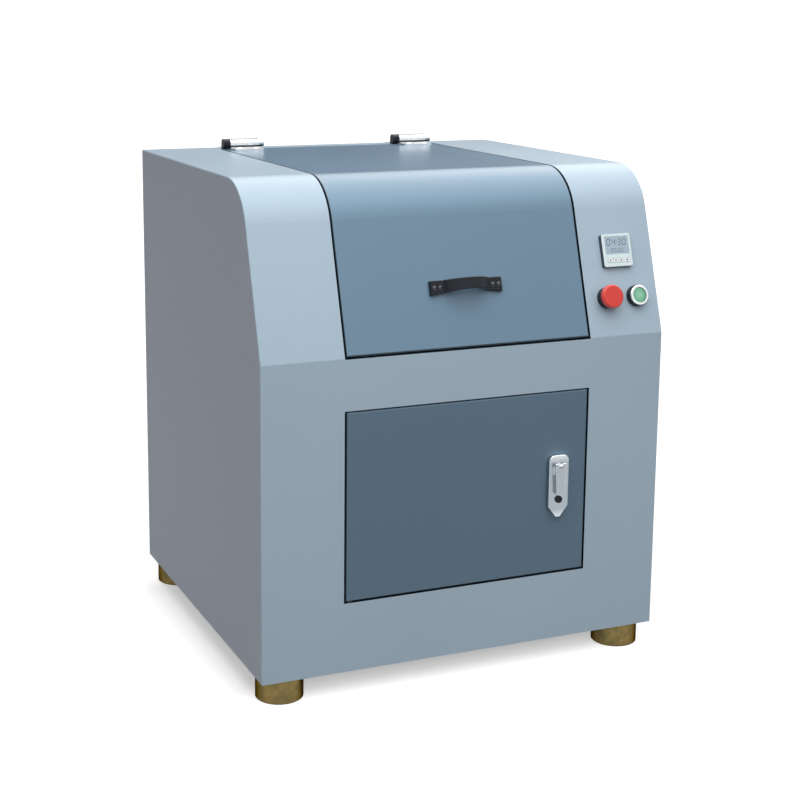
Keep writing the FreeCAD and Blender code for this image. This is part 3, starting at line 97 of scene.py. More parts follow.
class NodeSheet:
    """Writes nodes into one node tree."""

    def __init__(self, tree: bpy.types.NodeTree) -> None:
        """Empty the tree and write in it."""
        self.tree = tree
        self.tree.nodes.clear()

    def feed(self, value: object, target: bpy.types.NodeSocket) -> None:
        """Give an input its value.

        Args:
            value: a signal to link, or a plain value; a colour gets an alpha of 1.
            target: the input.
        """
        if isinstance(value, Signal):
            self.tree.links.new(value.socket, target)
        elif isinstance(value, tuple) and len(value) < len(target.default_value):
            target.default_value = (*value, 1.0)
        else:
            target.default_value = value

    def fill(self, node: bpy.types.Node, **values: object) -> bpy.types.Node:
        """Give a node its properties and inputs.

        Args:
            node: the node.
            values: values or signals under the name of the property or the input, with spaces
                written as underscores.

        Returns:
            The same node.
        """
        for key, value in values.items():
            if hasattr(node, key):
                setattr(node, key, value)
            else:
                self.feed(value, node.inputs[key.replace("_", " ")])
        return node

    def add(self, kind: str, **values: object) -> bpy.types.Node:
        """Add a node of Blender's kind, and fill it."""
        node = self.tree.nodes.new(kind)
        column, row = (len(self.tree.nodes) - 1) % 12, (len(self.tree.nodes) - 1) // 12
        node.location = (180 * column, -220 * row)
        return self.fill(node, **values)

    def read(self, kind: str, output: str | int, **values: object) -> Signal:
        """Add a node, fill it, and give its output of that name or number."""
        return Signal(self, self.add(kind, **values).outputs[output])

    def numbered(self, kind: str, output: str | int, inputs: dict[int, object], **values: object) -> Signal:
        """Add a node whose inputs go by number, since their names repeat.

        Args:
            kind: Blender's name of the node type.
            output: name or number of the output wanted.
            inputs: values or signals by the input's number.
            values: as for fill.

        Returns:
            The output.
        """
        node = self.add(kind, **values)
        for index, value in inputs.items():
            self.feed(value, node.inputs[index])
        return Signal(self, node.outputs[output])

    def maths(self, operation: str, first: Signal | float, second: Signal | float = 0.0) -> Signal:
        """Result of Blender's Math operation of that name."""
        return self.numbered("ShaderNodeMath", 0, {0: first, 1: second}, operation=operation)

    def vectors(self, operation: str, first: Signal, second: Signal | Triple, output: str = "Value") -> Signal:
        """Result of Blender's Vector Math operation of that name."""
        return self.numbered("ShaderNodeVectorMath", output, {0: first, 1: second}, operation=operation)

    def blend(self, factor: Signal, first: Signal | Colour, second: Signal | Colour) -> Signal:
        """Mix of two colours: the first at a factor of 0, the second at 1."""
        return self.numbered("ShaderNodeMix", 2, {0: factor, 6: first, 7: second}, data_type="RGBA")

    def noise(self, vector: Signal, scale: Signal | float, detail: float = 3.0, roughness: float = 0.5) -> Signal:
        """Noise from 0 to 1.

        Args:
            vector: where it is read.
            scale: features per metre.
            detail: how many finer layers it has.
            roughness: how strong the finer layers are.

        Returns:
            The noise.
        """
        return self.read("ShaderNodeTexNoise", "Fac", Vector=vector, Scale=scale, Detail=detail, Roughness=roughness)

    def split(self, vector: Signal) -> list[Signal]:
        """The x, y and z of a vector."""
        return [Signal(self, output) for output in self.add("ShaderNodeSeparateXYZ", Vector=vector).outputs]

    def normal(self) -> Signal:
        """The way the surface faces, in the world's axes."""
        return self.read("ShaderNodeNewGeometry", "Normal")


class SurfaceGroups:
    """Surface effects that several finishes share, each built once as a node group."""

    VECTORS = ("Vector", "Stretched", "Centre")
    INPUTS = {
        "paint_skin": ("Vector", "Peel"),
        "metal_grain": ("Vector", "Stretched"),
        "turned_rings": ("Vector", "Centre", "Pitch"),
        "moulded_skin": ("Vector", "Grain"),
        "settled_dust": ("Vector", "Amount"),
        "rubbed_edge": ("Vector", "Amount"),
        "grimy_seam": ("Vector", "Half", "Low"),
        "folded_edge": ("Vector", "Half", "Front"),
    }

    def __init__(self) -> None:
        """Build every group."""
        self.trees = {name: self.group(name, labels) for name, labels in self.INPUTS.items()}

    def group(self, name: str, inputs: Sequence[str]) -> bpy.types.NodeTree:
        """Make a node group, whose nodes the method of the same name writes.

        Args:
            name: its name.
            inputs: the names of its inputs.

        Returns:
            The group.
        """
        tree = bpy.data.node_groups.new(name, "ShaderNodeTree")
        for label in inputs:
            kind = "NodeSocketVector" if label in self.VECTORS else "NodeSocketFloat"
            tree.interface.new_socket(name=label, in_out="INPUT", socket_type=kind)
        sheet = NodeSheet(tree)
        start = sheet.add("NodeGroupInput")
        made = getattr(self, name)(sheet, {label: Signal(sheet, start.outputs[label]) for label in inputs})
        for label in made:
            tree.interface.new_socket(name=label, in_out="OUTPUT", socket_type="NodeSocketFloat")
        sheet.add("NodeGroupOutput", **made)
        return tree

    @staticmethod
    def paint_skin(sheet: NodeSheet, given: dict[str, Signal]) -> dict[str, Signal]:
        """Sprayed coat: fine orange peel over a slow unevenness, and slow drifts of tone.

        Args:
            sheet: the group's sheet.
            given: Vector, and Peel, the grains of the peel per metre.

        Returns:
            Height and Tone.
        """
        peel = sheet.noise(given["Vector"], given["Peel"], detail=2.0, roughness=0.45)
        slow = sheet.noise(given["Vector"], scale=14.0, detail=1.0)
        tone = sheet.noise(given["Vector"], scale=3.1, roughness=0.6)
        return {"Height": peel * 0.7 + slow * 0.3, "Tone": tone}

    @staticmethod
    def metal_grain(sheet: NodeSheet, given: dict[str, Signal]) -> dict[str, Signal]:
        """Fine scratches drawn out along one axis, and a patchy tone.

        Args:
            sheet: the group's sheet.
            given: Vector, and Stretched, the same scaled more along two of its axes.

        Returns:
            Height and Tone.
        """
        return {"Height": sheet.noise(given["Stretched"], scale=1.0, detail=4.0, roughness=0.6),
                "Tone": sheet.noise(given["Vector"], scale=60.0, detail=4.0, roughness=0.65)}

    @staticmethod
    def turned_rings(sheet: NodeSheet, given: dict[str, Signal]) -> dict[str, Signal]:
        """Tool marks of a lathe: noise read at the distance from the turning axis and the height along it.

        Args:
            sheet: the group's sheet.
            given: Vector, Centre, a point of the upright axis, and Pitch, the marks per metre.

        Returns:
            Height and Tone.
        """
        x, y, z = sheet.split(sheet.vectors("SUBTRACT", given["Vector"], given["Centre"], "Vector"))
        radius = (x * x + y * y).root()
        along = sheet.read("ShaderNodeCombineXYZ", 0, X=radius, Z=z)
        return {"Height": sheet.noise(along, given["Pitch"], roughness=0.6),
                "Tone": sheet.noise(given["Vector"], scale=45.0, detail=4.0, roughness=0.65)}

    @staticmethod
    def moulded_skin(sheet: NodeSheet, given: dict[str, Signal]) -> dict[str, Signal]:
        """Spark-eroded texture of moulded plastic and the faint cloudiness of its surface.

        Args:
            sheet: the group's sheet.
            given: Vector, and Grain, the cells per metre.

        Returns:
            Height and Tone.
        """
        cells = sheet.read("ShaderNodeTexVoronoi", "Distance", Vector=given["Vector"], Scale=given["Grain"])
        fine = sheet.noise(given["Vector"], given["Grain"], detail=2.0)
        return {"Height": cells * 0.6 + fine * 0.4, "Tone": sheet.noise(given["Vector"], scale=40.0, detail=2.0)}

    @staticmethod
    def settled_dust(sheet: NodeSheet, given: dict[str, Signal]) -> dict[str, Signal]:
        """Dust: the upward share of the surface times a broken noise.

        Args:
            sheet: the group's sheet.
            given: Vector, and Amount.

        Returns:
            Mask.
        """
        upward = sheet.split(sheet.normal())[2].at_least(0.0) ** 3.0
        broken = sheet.noise(given["Vector"], scale=35.0, detail=5.0, roughness=0.7)
        return {"Mask": upward * broken * given["Amount"]}

    @staticmethod
    def rubbed_edge(sheet: NodeSheet, given: dict[str, Signal]) -> dict[str, Signal]:
        """Edges, where pale painted highlights and a little wear go: how far a rounded normal turns away from the
        true one, broken up by noise.

        Args:
            sheet: the group's sheet.
            given: Vector, and Amount.

        Returns:
            Mask.
        """
        rounded = sheet.read("ShaderNodeBevel", 0, samples=3, Radius=0.0012)
        turned = (1.0 - sheet.vectors("DOT_PRODUCT", rounded, sheet.normal())) * 4.0
        broken = sheet.noise(given["Vector"], scale=90.0, detail=4.0, roughness=0.7)
        return {"Mask": turned.at_most(1.0) * broken * given["Amount"]}

    @staticmethod
    def grimy_seam(sheet: NodeSheet, given: dict[str, Signal]) -> dict[str, Signal]:
        """Seam, where painted shade of the gap goes: how close a point lies to the side edges or the lower edge of a
        leaf.

        Args:
            sheet: the group's sheet.
            given: Vector, Half, the leaf's half width, and Low, the height of its lower edge.

        Returns:
            Mask.
        """
        width = 0.0016
        x, _, z = sheet.split(given["Vector"])
        nearest = (given["Half"] - abs(x)).at_most(z - given["Low"]).at_least(0.0)
        return {"Mask": 1.0 - (nearest / width).at_most(1.0) ** 3.0}

    @staticmethod
    def folded_edge(sheet: NodeSheet, given: dict[str, Signal]) -> dict[str, Signal]:
        """Folds of an opening, where painted shade goes: faces within its width that look sideways, or up at the
        front.

        Args:
            sheet: the group's sheet.
            given: Vector, Half, the opening's half width, and Front, the y that the front lies before.

        Returns:
            Mask.
        """
        x, y, _ = sheet.split(given["Vector"])
        aside, _, upward = sheet.split(sheet.normal())
        above = (upward > 0.5) * (y < given["Front"])
        return {"Mask": (abs(x) < given["Half"]) * (abs(aside) > 0.5).at_least(above)}


class MaterialSheet(NodeSheet):
    """Sheet of a material, with its Principled shader and the Object coordinate already there."""

    def __init__(self, tree: bpy.types.NodeTree, groups: SurfaceGroups) -> None:
        """Empty the tree, and write the shader, the output and the coordinate."""
        super().__init__(tree)
        self.groups = groups
        self.shader = self.add("ShaderNodeBsdfPrincipled")
        self.add("ShaderNodeOutputMaterial", Surface=Signal(self, self.shader.outputs[0]))
        self.place = self.read("ShaderNodeTexCoord", "Object")

    def use(self, group: str, **values: object) -> dict[str, Signal]:
        """Put a shared group into the material.

        Args:
            group: its name.
            values: its inputs other than Vector, which is the Object coordinate.

        Returns:
            Its outputs by name.
        """
        node = self.add("ShaderNodeGroup", node_tree=self.groups.trees[group], Vector=self.place, **values)
        return {output.name: Signal(self, output) for output in node.outputs}

    def relief(self, height: Signal, strength: float, distance: float) -> Signal:
        """Normal of a relief in which a height of 1 stands for the distance in metres."""
        return self.read("ShaderNodeBump", 0, Height=height, Strength=strength, Distance=distance)


# ---------------------------------------------------------------- finishes
COARSE_DUST: Colour = (0.62, 0.60, 0.57)
FINE_DUST: Colour = (0.55, 0.54, 0.52)
# Painted shade of gaps and of the folds inside openings.
PAINTED_GAP_SHADE: Colour = (0.008, 0.022, 0.034)
# Painted shade on sides that turn away from the control face.
PAINTED_SIDE_SHADE: Colour = (0.035, 0.05, 0.065)
# Painted highlight on bright metal edges.
PAINTED_EDGE_GLINT: Colour = (0.93, 0.95, 0.96)
# Painted highlight on a plate's ends.
PAINTED_END_HIGHLIGHT: Colour = (0.78, 0.82, 0.84)
# Dark joints of a knuckle, partly painted shade in the crease by the leaf.
JOINT_AND_CREASE_SHADE: Colour = (0.03, 0.033, 0.036)


class Grain(Enum):
    """How a metal surface was worked: the scale of its scratches along each axis, per metre."""

    ALONG_X = (40.0, 1500.0, 1500.0)
    POLISHED = (700.0, 700.0, 700.0)


def shade(colour: Colour, factor: float) -> Colour:
    """A colour made lighter or darker, kept below 1."""
    return tuple(min(value * factor, 1.0) for value in colour)


@dataclass(frozen=True)
class Finish:
    """Base of every finish: writes one material and keeps it."""

    name: str
    colour: Colour

    made: ClassVar[dict[str, bpy.types.Material]] = {}
    groups: ClassVar[SurfaceGroups]

    def material(self) -> bpy.types.Material:
        """Give the finish's material, written on first use.

        Returns:
            The material.
        """
        if self.name not in self.made:
            material = bpy.data.materials.new(self.name)
            material.use_nodes = True
            self.write(MaterialSheet(material.node_tree, self.groups))
            self.made[self.name] = material
        return self.made[self.name]

    def write(self, sheet: MaterialSheet) -> None:
        """Write the finish's own nodes."""
        raise NotImplementedError

    def tones(self, sheet: NodeSheet, tone: Signal, drift: float) -> Signal:
        """The finish's colour, darker by the drift at a tone of 0 and lighter by it at 1."""
        return sheet.blend(tone, shade(self.colour, 1.0 - drift), shade(self.colour, 1.0 + drift))


@dataclass(frozen=True)
class PaintFinish(Finish):
    """Sprayed or powder coat.

    A seam is the half width and the lower edge of a leaf whose outline is darkened with a
    painted shade of the gap round it. A fold is the half width of the openings, and the y their
    front lies before, whose folded-in edges get the same painted shade.
    """

    roughness: float
    gloss: float = 0.5
    tint: Colour = (1.0, 1.0, 1.0)
    peel: float = 900.0
    depth: float = 0.00002
    drift: float = 0.05
    dust: float = 0.05
    edge_light_and_wear: float = 0.12
    seam: tuple[float, float] | None = None
    fold: tuple[float, float] | None = None

    def write(self, sheet: MaterialSheet) -> None:
        """Tone drifts in the colour, orange peel in the relief, dust on what faces up, pale edges that are a painted
        highlight with a little wear, painted shade in seams and folds.

        Args:
            sheet: the material's sheet.
        """
        skin = sheet.use("paint_skin", Peel=self.peel)
        dust = sheet.use("settled_dust", Amount=self.dust)["Mask"]
        edge_light_and_wear = sheet.use("rubbed_edge", Amount=self.edge_light_and_wear)["Mask"]
        base = sheet.blend(dust, self.tones(sheet, skin["Tone"], self.drift), COARSE_DUST)
        # Pale edges: a painted highlight, with a little wear.
        base = sheet.blend(edge_light_and_wear, base, shade(self.colour, 1.45))
        # Seams and folds: painted shade in the gaps.
        if self.seam:
            half, low = self.seam
            base = sheet.blend(sheet.use("grimy_seam", Half=half, Low=low)["Mask"], base, PAINTED_GAP_SHADE)
        if self.fold:
            half, front = self.fold
            base = sheet.blend(sheet.use("folded_edge", Half=half, Front=front)["Mask"], base, PAINTED_GAP_SHADE)
        sheet.fill(sheet.shader, Base_Color=base, Roughness=skin["Tone"].around(self.roughness, amount=0.08) + dust,
                   Specular_IOR_Level=self.gloss, Specular_Tint=self.tint,
                   Normal=sheet.relief(skin["Height"], strength=0.35, distance=self.depth))


@dataclass(frozen=True)
class MetalFinish(Finish):
    """Bare or plated metal, drawn or polished.

    A rim darkens what turns away from the view, a painted dark reflection, and an edge glint
    brightens the edges, a painted highlight. Slits are the dark joints of a rolled knuckle, whose darkness is also
    painted shade in the crease by the leaf: each between two heights in metres, with its strength. Ends are the
    middle height and the half length of a plate whose upper and lower ends are painted brighter, a painted highlight.
    """

    stain: Colour
    roughness: float
    grain: Grain = Grain.POLISHED
    stained: float = 0.35
    depth: float = 0.00001
    patchy: float = 1.0
    rim: float = 0.0
    edge_glint: float = 0.0
    slits: tuple[Triple, ...] = ()
    ends: tuple[float, float] | None = None
    tint: Colour = (1.0, 1.0, 1.0)

    def write(self, sheet: MaterialSheet) -> None:
        """Stains in the colour, worked grain in roughness and relief.

        Args:
            sheet: the material's sheet.
        """
        stretched = sheet.read("ShaderNodeMapping", "Vector", Vector=sheet.place, Scale=self.grain.value)
        grain = sheet.use("metal_grain", Stretched=stretched)
        base = sheet.blend(grain["Tone"].around(0.5 * self.stained, self.patchy * self.stained),
                           self.colour, self.stain)
        # Painted dark reflection on faces that turn away from the view.
        if self.rim:
            away = sheet.read("ShaderNodeLayerWeight", "Facing", Blend=0.5)
            base = sheet.blend(away ** 2.0 * self.rim, base, shade(self.stain, 0.2))
        # Painted highlight on the edges.
        if self.edge_glint:
            edge = sheet.use("rubbed_edge", Amount=self.edge_glint)["Mask"]
            base = sheet.blend(edge, base, PAINTED_EDGE_GLINT)
        # Painted highlight on the plate's ends.
        if self.ends:
            base = sheet.blend(self.end_highlight_mask(sheet), base, PAINTED_END_HIGHLIGHT)
        metallic: Signal | float = 1.0
        # Dark joints, partly painted shade in the crease by the leaf.
        if self.slits:
            joint = self.slit_mask(sheet)
            base = sheet.blend(joint, base, JOINT_AND_CREASE_SHADE)
            metallic = 1.0 - joint
        sheet.fill(sheet.shader, Base_Color=base, Metallic=metallic, Specular_Tint=self.tint,
                   Roughness=grain["Height"].around(self.roughness, amount=0.12),
                   Normal=sheet.relief(grain["Height"], strength=0.3, distance=self.depth))

    def end_highlight_mask(self, sheet: MaterialSheet) -> Signal:
        """Mask of a plate's ends, where the painted highlight goes.

        Args:
            sheet: the material's sheet.

        Returns:
            0 up to three quarters of the half length from the middle, rising to 0.8 at the end.
        """
        middle, half = self.ends
        share = abs(sheet.split(sheet.place)[2] - middle) / (half / 4) - 3.0
        return share.at_least(0.0).at_most(1.0) * 0.8

    def slit_mask(self, sheet: MaterialSheet) -> Signal:
        """Mask of the slits, each at its strength between its two heights."""
        height = sheet.split(sheet.place)[2]
        masks = [(abs(height - (low + high) / 2) < (high - low) / 2) * strength for low, high, strength in self.slits]
        return sum(masks[1:], masks[0])


@dataclass(frozen=True)
class TurnedFinish(Finish):
    """Metal turned on a lathe about an upright axis."""

    stain: Colour
    roughness: float
    centre: Triple
    pitch: float = 1400.0
    stained: float = 0.35
    depth: float = 0.00002

    def write(self, sheet: MaterialSheet) -> None:
        """Lathe rings in roughness and relief, stains in the colour.

        Args:
            sheet: the material's sheet.
        """
        rings = sheet.use("turned_rings", Centre=self.centre, Pitch=self.pitch)
        sheet.fill(sheet.shader, Base_Color=sheet.blend(rings["Tone"] * self.stained, self.colour, self.stain),
                   Roughness=rings["Height"].around(self.roughness, amount=0.2), Metallic=1.0,
                   Normal=sheet.relief(rings["Height"], strength=0.4, distance=self.depth))


@dataclass(frozen=True)
class MouldedFinish(Finish):
    """Moulded plastic or rubber.

    With shaded sides, what doesn't face the way the control face does gets a dark colour, a painted shade on the
    sides.
    """

    roughness: float
    grain: float = 2200.0
    depth: float = 0.00002
    dust: float = 0.03
    gloss: float = 0.5
    coat: float = 0.0
    shaded_sides: bool = False

    def write(self, sheet: MaterialSheet) -> None:
        """Fine moulded grain in the relief, cloudy tone in colour and roughness, a little dust.

        Args:
            sheet: the material's sheet.
        """
        skin = sheet.use("moulded_skin", Grain=self.grain)
        dust = sheet.use("settled_dust", Amount=self.dust)["Mask"]
        base = sheet.blend(dust, self.tones(sheet, skin["Tone"], 0.06), FINE_DUST)
        # Painted shade on the sides that don't face the way the control face does.
        if self.shaded_sides:
            ahead = sheet.vectors("DOT_PRODUCT", sheet.normal(), (0.0, -math.cos(LEAN), math.sin(LEAN)))
            base = sheet.blend(ahead < 0.35, base, PAINTED_SIDE_SHADE)
        sheet.fill(sheet.shader, Base_Color=base, Roughness=skin["Tone"].around(self.roughness, amount=0.1),
                   Specular_IOR_Level=self.gloss, Coat_Weight=self.coat, Coat_Roughness=0.08,
                   Normal=sheet.relief(skin["Height"], strength=0.4, distance=self.depth))


@dataclass(frozen=True)
class LensFinish(Finish):
    """Coloured lens of a push button, with diffuser rings, darker towards its rim as a painted shade of the chrome
    ring's recess.
    """

    pale: Colour
    centre: Triple
    reach: float

    def write(self, sheet: MaterialSheet) -> None:
        """Colour darker with distance from the lens's centre, a painted shade of the chrome ring's recess; concentric
        diffuser rings in the relief.

        Args:
            sheet: the material's sheet.
        """
        away = sheet.vectors("DISTANCE", sheet.place, self.centre)
        # Darker towards the rim: painted shade of the chrome ring's recess.
        rim = (away / self.reach + sheet.noise(sheet.place, scale=260.0, detail=2.0) * 0.5) ** 2.0
        rings = (away * 4200.0).sine()
        sheet.fill(sheet.shader, Base_Color=sheet.blend(rim.at_most(1.0), self.pale, self.colour),
                   Roughness=rings.around(0.3, amount=0.05), Coat_Weight=0.6,
                   Normal=sheet.relief(rings, strength=0.3, distance=0.00008))


@dataclass(frozen=True)
class FoamFinish(Finish):
    """Open-cell sound foam."""

    def write(self, sheet: MaterialSheet) -> None:
        """Small cells darker in colour, a painted shade in the pores, and sunk in the relief, over a slow drift of
        tone.

        Args:
            sheet: the material's sheet.
        """
        cells = sheet.read("ShaderNodeTexVoronoi", "Distance", Vector=sheet.place, Scale=900.0)
        base = sheet.blend(sheet.noise(sheet.place, scale=18.0), shade(self.colour, 0.85), shade(self.colour, 1.2))
        # Darker cells: painted shade in the open pores.
        sheet.fill(sheet.shader, Base_Color=sheet.blend((cells * 1.6).at_most(1.0), shade(self.colour, 0.35), base),
                   Roughness=0.95, Specular_IOR_Level=0.15, Sheen_Weight=0.25,
                   Normal=sheet.relief(cells, strength=0.8, distance=0.0006))


def finishes() -> dict[str, Finish]:
    """List the mill's finishes.

    Returns:
        Every finish by its name.
    """
    axis = (0.0, -0.023725, 0.0)
    lens = tuple(Face.slope(273.0, 55.5).place(np.array([[0.0, 0.0, 11.4]]))[0])
    cover, cover_coat = (0.462, 0.592, 0.70), {"roughness": 0.30, "gloss": 0.37, "depth": 0.00001}
    smooth_plating = {"stained": 0.25, "depth": 0.000004}
    made = (
        # The fold gives painted shade inside the openings.
        PaintFinish("cover_paint", cover, fold=(0.1906, -0.27), **cover_coat),
        PaintFinish("chamber_paint", cover, **cover_coat),
        # The cabinet's paint made greyer and darker for the side and back panels: painted shade.
        PaintFinish("side_paint", (0.385, 0.43, 0.515), 0.45, gloss=0.28, depth=0.00003),
        # Seams: painted shade in the gaps round the lid and the door.
        PaintFinish("lid_paint", (0.178, 0.284, 0.392), 0.25, gloss=0.49, tint=(0.84, 0.95, 1.0), depth=0.0000012,
                    dust=0.004, edge_light_and_wear=0.1, seam=(0.1875, 0.4845)),
        PaintFinish("door_paint", (0.13, 0.205, 0.277), 0.42, gloss=0.35, edge_light_and_wear=0.15, seam=(0.1875, 0.1385)),
        PaintFinish("frame_steel", (0.05, 0.055, 0.06), 0.5, dust=0.3),
        PaintFinish("casting_paint", (0.05, 0.10, 0.12), 0.45, peel=380.0, depth=0.0002, dust=0.2),
        TurnedFinish("hard_steel", (0.50, 0.50, 0.49), (0.30, 0.27, 0.23), 0.28, axis),
        # The rim darkens the feet's edges as a painted dark reflection.
        MetalFinish("zinc_yellow", (0.27, 0.185, 0.066), (0.12, 0.11, 0.05), 0.30, Grain.ALONG_X, stained=0.9,
                    depth=0.00002, patchy=3.0, rim=0.9, tint=(0.30, 0.26, 0.16)),
        MetalFinish("blackened_steel", (0.075, 0.078, 0.09), (0.04, 0.04, 0.045), 0.36),
        MetalFinish("bright_steel", (0.62, 0.62, 0.60), (0.38, 0.36, 0.33), 0.26, Grain.ALONG_X),
        MetalFinish("spring_steel", (0.16, 0.165, 0.175), (0.08, 0.07, 0.06), 0.34, stained=0.7),
        MetalFinish("chrome", (0.90, 0.92, 0.93), (0.80, 0.81, 0.82), 0.12, **smooth_plating),
        MetalFinish("hinge_chrome", (0.95, 0.96, 0.97), (0.86, 0.87, 0.88), 0.28, **smooth_plating,
                    slits=((0.7208, 0.7242, 1.0), (0.7325, 0.7350, 0.8))),
        # Edge glint and bright ends are painted highlights.
        MetalFinish("plated", (0.40, 0.45, 0.485), (0.33, 0.365, 0.39), 0.26, **smooth_plating,
                    edge_glint=1.6, ends=(0.270, 0.046)),
        MouldedFinish("black_plastic", (0.008, 0.010, 0.014), 0.42, gloss=0.25),
        MouldedFinish("timer_plastic", (0.81, 0.94, 0.99), 0.42, shaded_sides=True),
        MouldedFinish("display", (0.44, 0.565, 0.68), 0.12, grain=300.0, depth=0.000002, coat=0.6),
        MouldedFinish("key_white", (0.93, 0.99, 1.0), 0.35),
        MouldedFinish("red_cap", (0.80, 0.037, 0.020), 0.3, depth=0.00001, coat=0.4),
        LensFinish("green_cap", (0.153, 0.51, 0.30), (0.355, 0.68, 0.51), lens, 0.0106),
        MouldedFinish("seal_rubber", (0.018, 0.019, 0.021), 0.7, grain=1500.0, depth=0.00004, dust=0.01, gloss=0.2),
        MouldedFinish("printed_black", (0.03, 0.035, 0.04), 0.4),
        MouldedFinish("segment_dark", (0.13, 0.17, 0.19), 0.3),
        FoamFinish("foam", (0.055, 0.055, 0.06)),
    )
    return {finish.name: finish for finish in made}


# ---------------------------------------------------------------- places and meshes
@dataclass(frozen=True)
class Face:
    """A flat face: where it is, and its own right and up directions. Millimetres."""

    origin: Triple
    right: Triple
    up: Triple

    @staticmethod
    def slope(x: float, rise: float) -> "Face":
        """Control face at x, that far up the slope from the kink."""
        origin = (x, Outline.front_y + rise * math.sin(LEAN), Outline.kink_z + rise * math.cos(LEAN))
        return Face(origin, (1.0, 0.0, 0.0), (0.0, math.sin(LEAN), math.cos(LEAN)))

    @staticmethod
    def top(x: float, y: float) -> "Face":
        """The cabinet's flat top."""
        return Face((x, y, Outline.top_z), (1.0, 0.0, 0.0), (0.0, 1.0, 0.0))

    @staticmethod
    def rear(x: float, z: float) -> "Face":
        """The cabinet's back."""
        return Face((x, Outline.rear_y, z), (-1.0, 0.0, 0.0), (0.0, 0.0, 1.0))

    def place(self, points: np.ndarray) -> np.ndarray:
        """Carry points onto the face.

        Args:
            points: right, up and outward distances, millimetres, in the last axis.

        Returns:
            The points in the part's frame, metres: origin + right*a + up*b + (right x up)*c.
        """
        right = np.array(self.right)
        up = np.array(self.up)
        return (np.array(self.origin) + points @ np.stack([right, up, np.cross(right, up)])) * MM


class Outline:
    """Side outline of the cabinet from the kink over the bend to the rear edge. Millimetres."""

    front_y = -289.6
    rear_y = 280.4
    kink_z = 482.0
    top_z = 718.0
    radius = 80.0
    turn = math.pi / 2 - LEAN

    @classmethod
    def bend(cls) -> Triple:
        """The y and z of the bend's centre, its radius below the top and off the slope, and the slope's length."""
        z = cls.top_z - cls.radius
        run = (cls.radius + (z - cls.kink_z) * math.sin(LEAN)) / math.cos(LEAN)
        return cls.front_y + run, z, (z - cls.kink_z + cls.radius * math.sin(LEAN)) / math.cos(LEAN)

    @classmethod
    def at(cls, travel: np.ndarray, inset: np.ndarray | float) -> tuple[np.ndarray, np.ndarray]:
        """Points at a distance along the outline and below its surface.

        Args:
            travel: distance along the outer surface from the kink.
            inset: depth below the surface.

        Returns:
            Their y and z. The outline is a straight slope, then an arc that turns the normal
            from the lean to upright, then a straight top; a point is the surface point less
            the normal times the inset.
        """
        centre_y, centre_z, slope_length = cls.bend()
        angle = LEAN + np.clip((travel - slope_length) / cls.radius, 0.0, cls.turn)
        before = np.minimum(travel - slope_length, 0.0)
        after = np.maximum(travel - slope_length - cls.turn * cls.radius, 0.0)
        y = centre_y - cls.radius * np.cos(angle) + before * math.sin(LEAN) + after
        z = centre_z + cls.radius * np.sin(angle) + before * math.cos(LEAN)
        return y + inset * np.cos(angle), z - inset * np.sin(angle)

    @classmethod
    def travel_of_top(cls, y: float) -> float:
        """Distance along the outline to a point of the flat top."""
        centre_y, _, slope_length = cls.bend()
        return slope_length + cls.turn * cls.radius + y - centre_y


def on_circle(turn: np.ndarray) -> np.ndarray:
    """Points of the unit circle at the angles given."""
    return np.stack([np.cos(turn), np.sin(turn)], axis=-1)


def grid_faces(rows: int, columns: int, around: bool) -> np.ndarray:
    """Quads between neighbouring points of a grid.

    Args:
        rows: points along the first parameter.
        columns: points along the second parameter.
        around: whether the last column joins the first.

    Returns:
        One row of four point numbers per quad; point (r, c) has the number r * columns + c.
    """
    row, column = np.meshgrid(np.arange(rows - 1), np.arange(columns if around else columns - 1), indexing="ij")
    following = (column + 1) % columns
    corners = (row * columns + column, row * columns + following,
               (row + 1) * columns + following, (row + 1) * columns + column)
    return np.stack(corners, axis=-1).reshape(-1, 4)


def tube(points: np.ndarray) -> MeshData:
    """Close a grid of rings into a solid with a flat face on each end.

    Args:
        points: rings by points by three.

    Returns:
        The points as a list of rows, and the faces.
    """
    rings, sides = points.shape[:2]
    ends = [list(range(start, start + sides)) for start in (0, (rings - 1) * sides)]
    return points.reshape(-1, 3), grid_faces(rings, sides, True).tolist() + ends


def slab(front: np.ndarray, back: np.ndarray) -> MeshData:
    """Close two matching grids into a slab.

    Args:
        front: rows by columns by three.
        back: the same size.

    Returns:
        The points and faces; the rim joins the two grids' outer points.
    """
    rows, columns = front.shape[:2]
    quads = grid_faces(rows, columns, False)
    count = rows * columns
    number = np.arange(count).reshape(rows, columns)
    rim = np.concatenate([number[0, :-1], number[:-1, -1], number[-1, :0:-1], number[:0:-1, 0]])
    following = np.roll(rim, -1)
    sides = np.stack([rim, following, following + count, rim + count], axis=-1)
    faces = np.concatenate([quads, quads[:, ::-1] + count, sides])
    return np.concatenate([front.reshape(-1, 3), back.reshape(-1, 3)]), faces.tolist()


def plates(outlines: np.ndarray, face: Face, height: float) -> MeshData:
    """Thin plates on a face, from just under its surface to just over it.

    Args:
        outlines: plates by corners by two, right and up on the face.
        face: the face they lie on.
        height: height above the face of the surface that carries them.

    Returns:
        The points and faces of all plates, each a prism between its two levels.
    """
    under, over = 0.02, 0.05
    count, corners = outlines.shape[:2]
    levels = [np.concatenate([outlines, np.full((count, corners, 1), level)], axis=-1)
              for level in (height - under, height + over)]
    points = face.place(np.stack(levels, axis=1).reshape(-1, 3))
    start = np.arange(count)[:, None] * 2 * corners
    ring = np.arange(corners)
    after = np.roll(ring, -1)
    walls = np.stack([ring, after, after + corners, ring + corners], axis=-1)
    caps = (start + ring[::-1]).tolist() + (start + corners + ring).tolist()
    return points, caps + (start[:, :, None] + walls[None]).reshape(-1, 4).tolist()


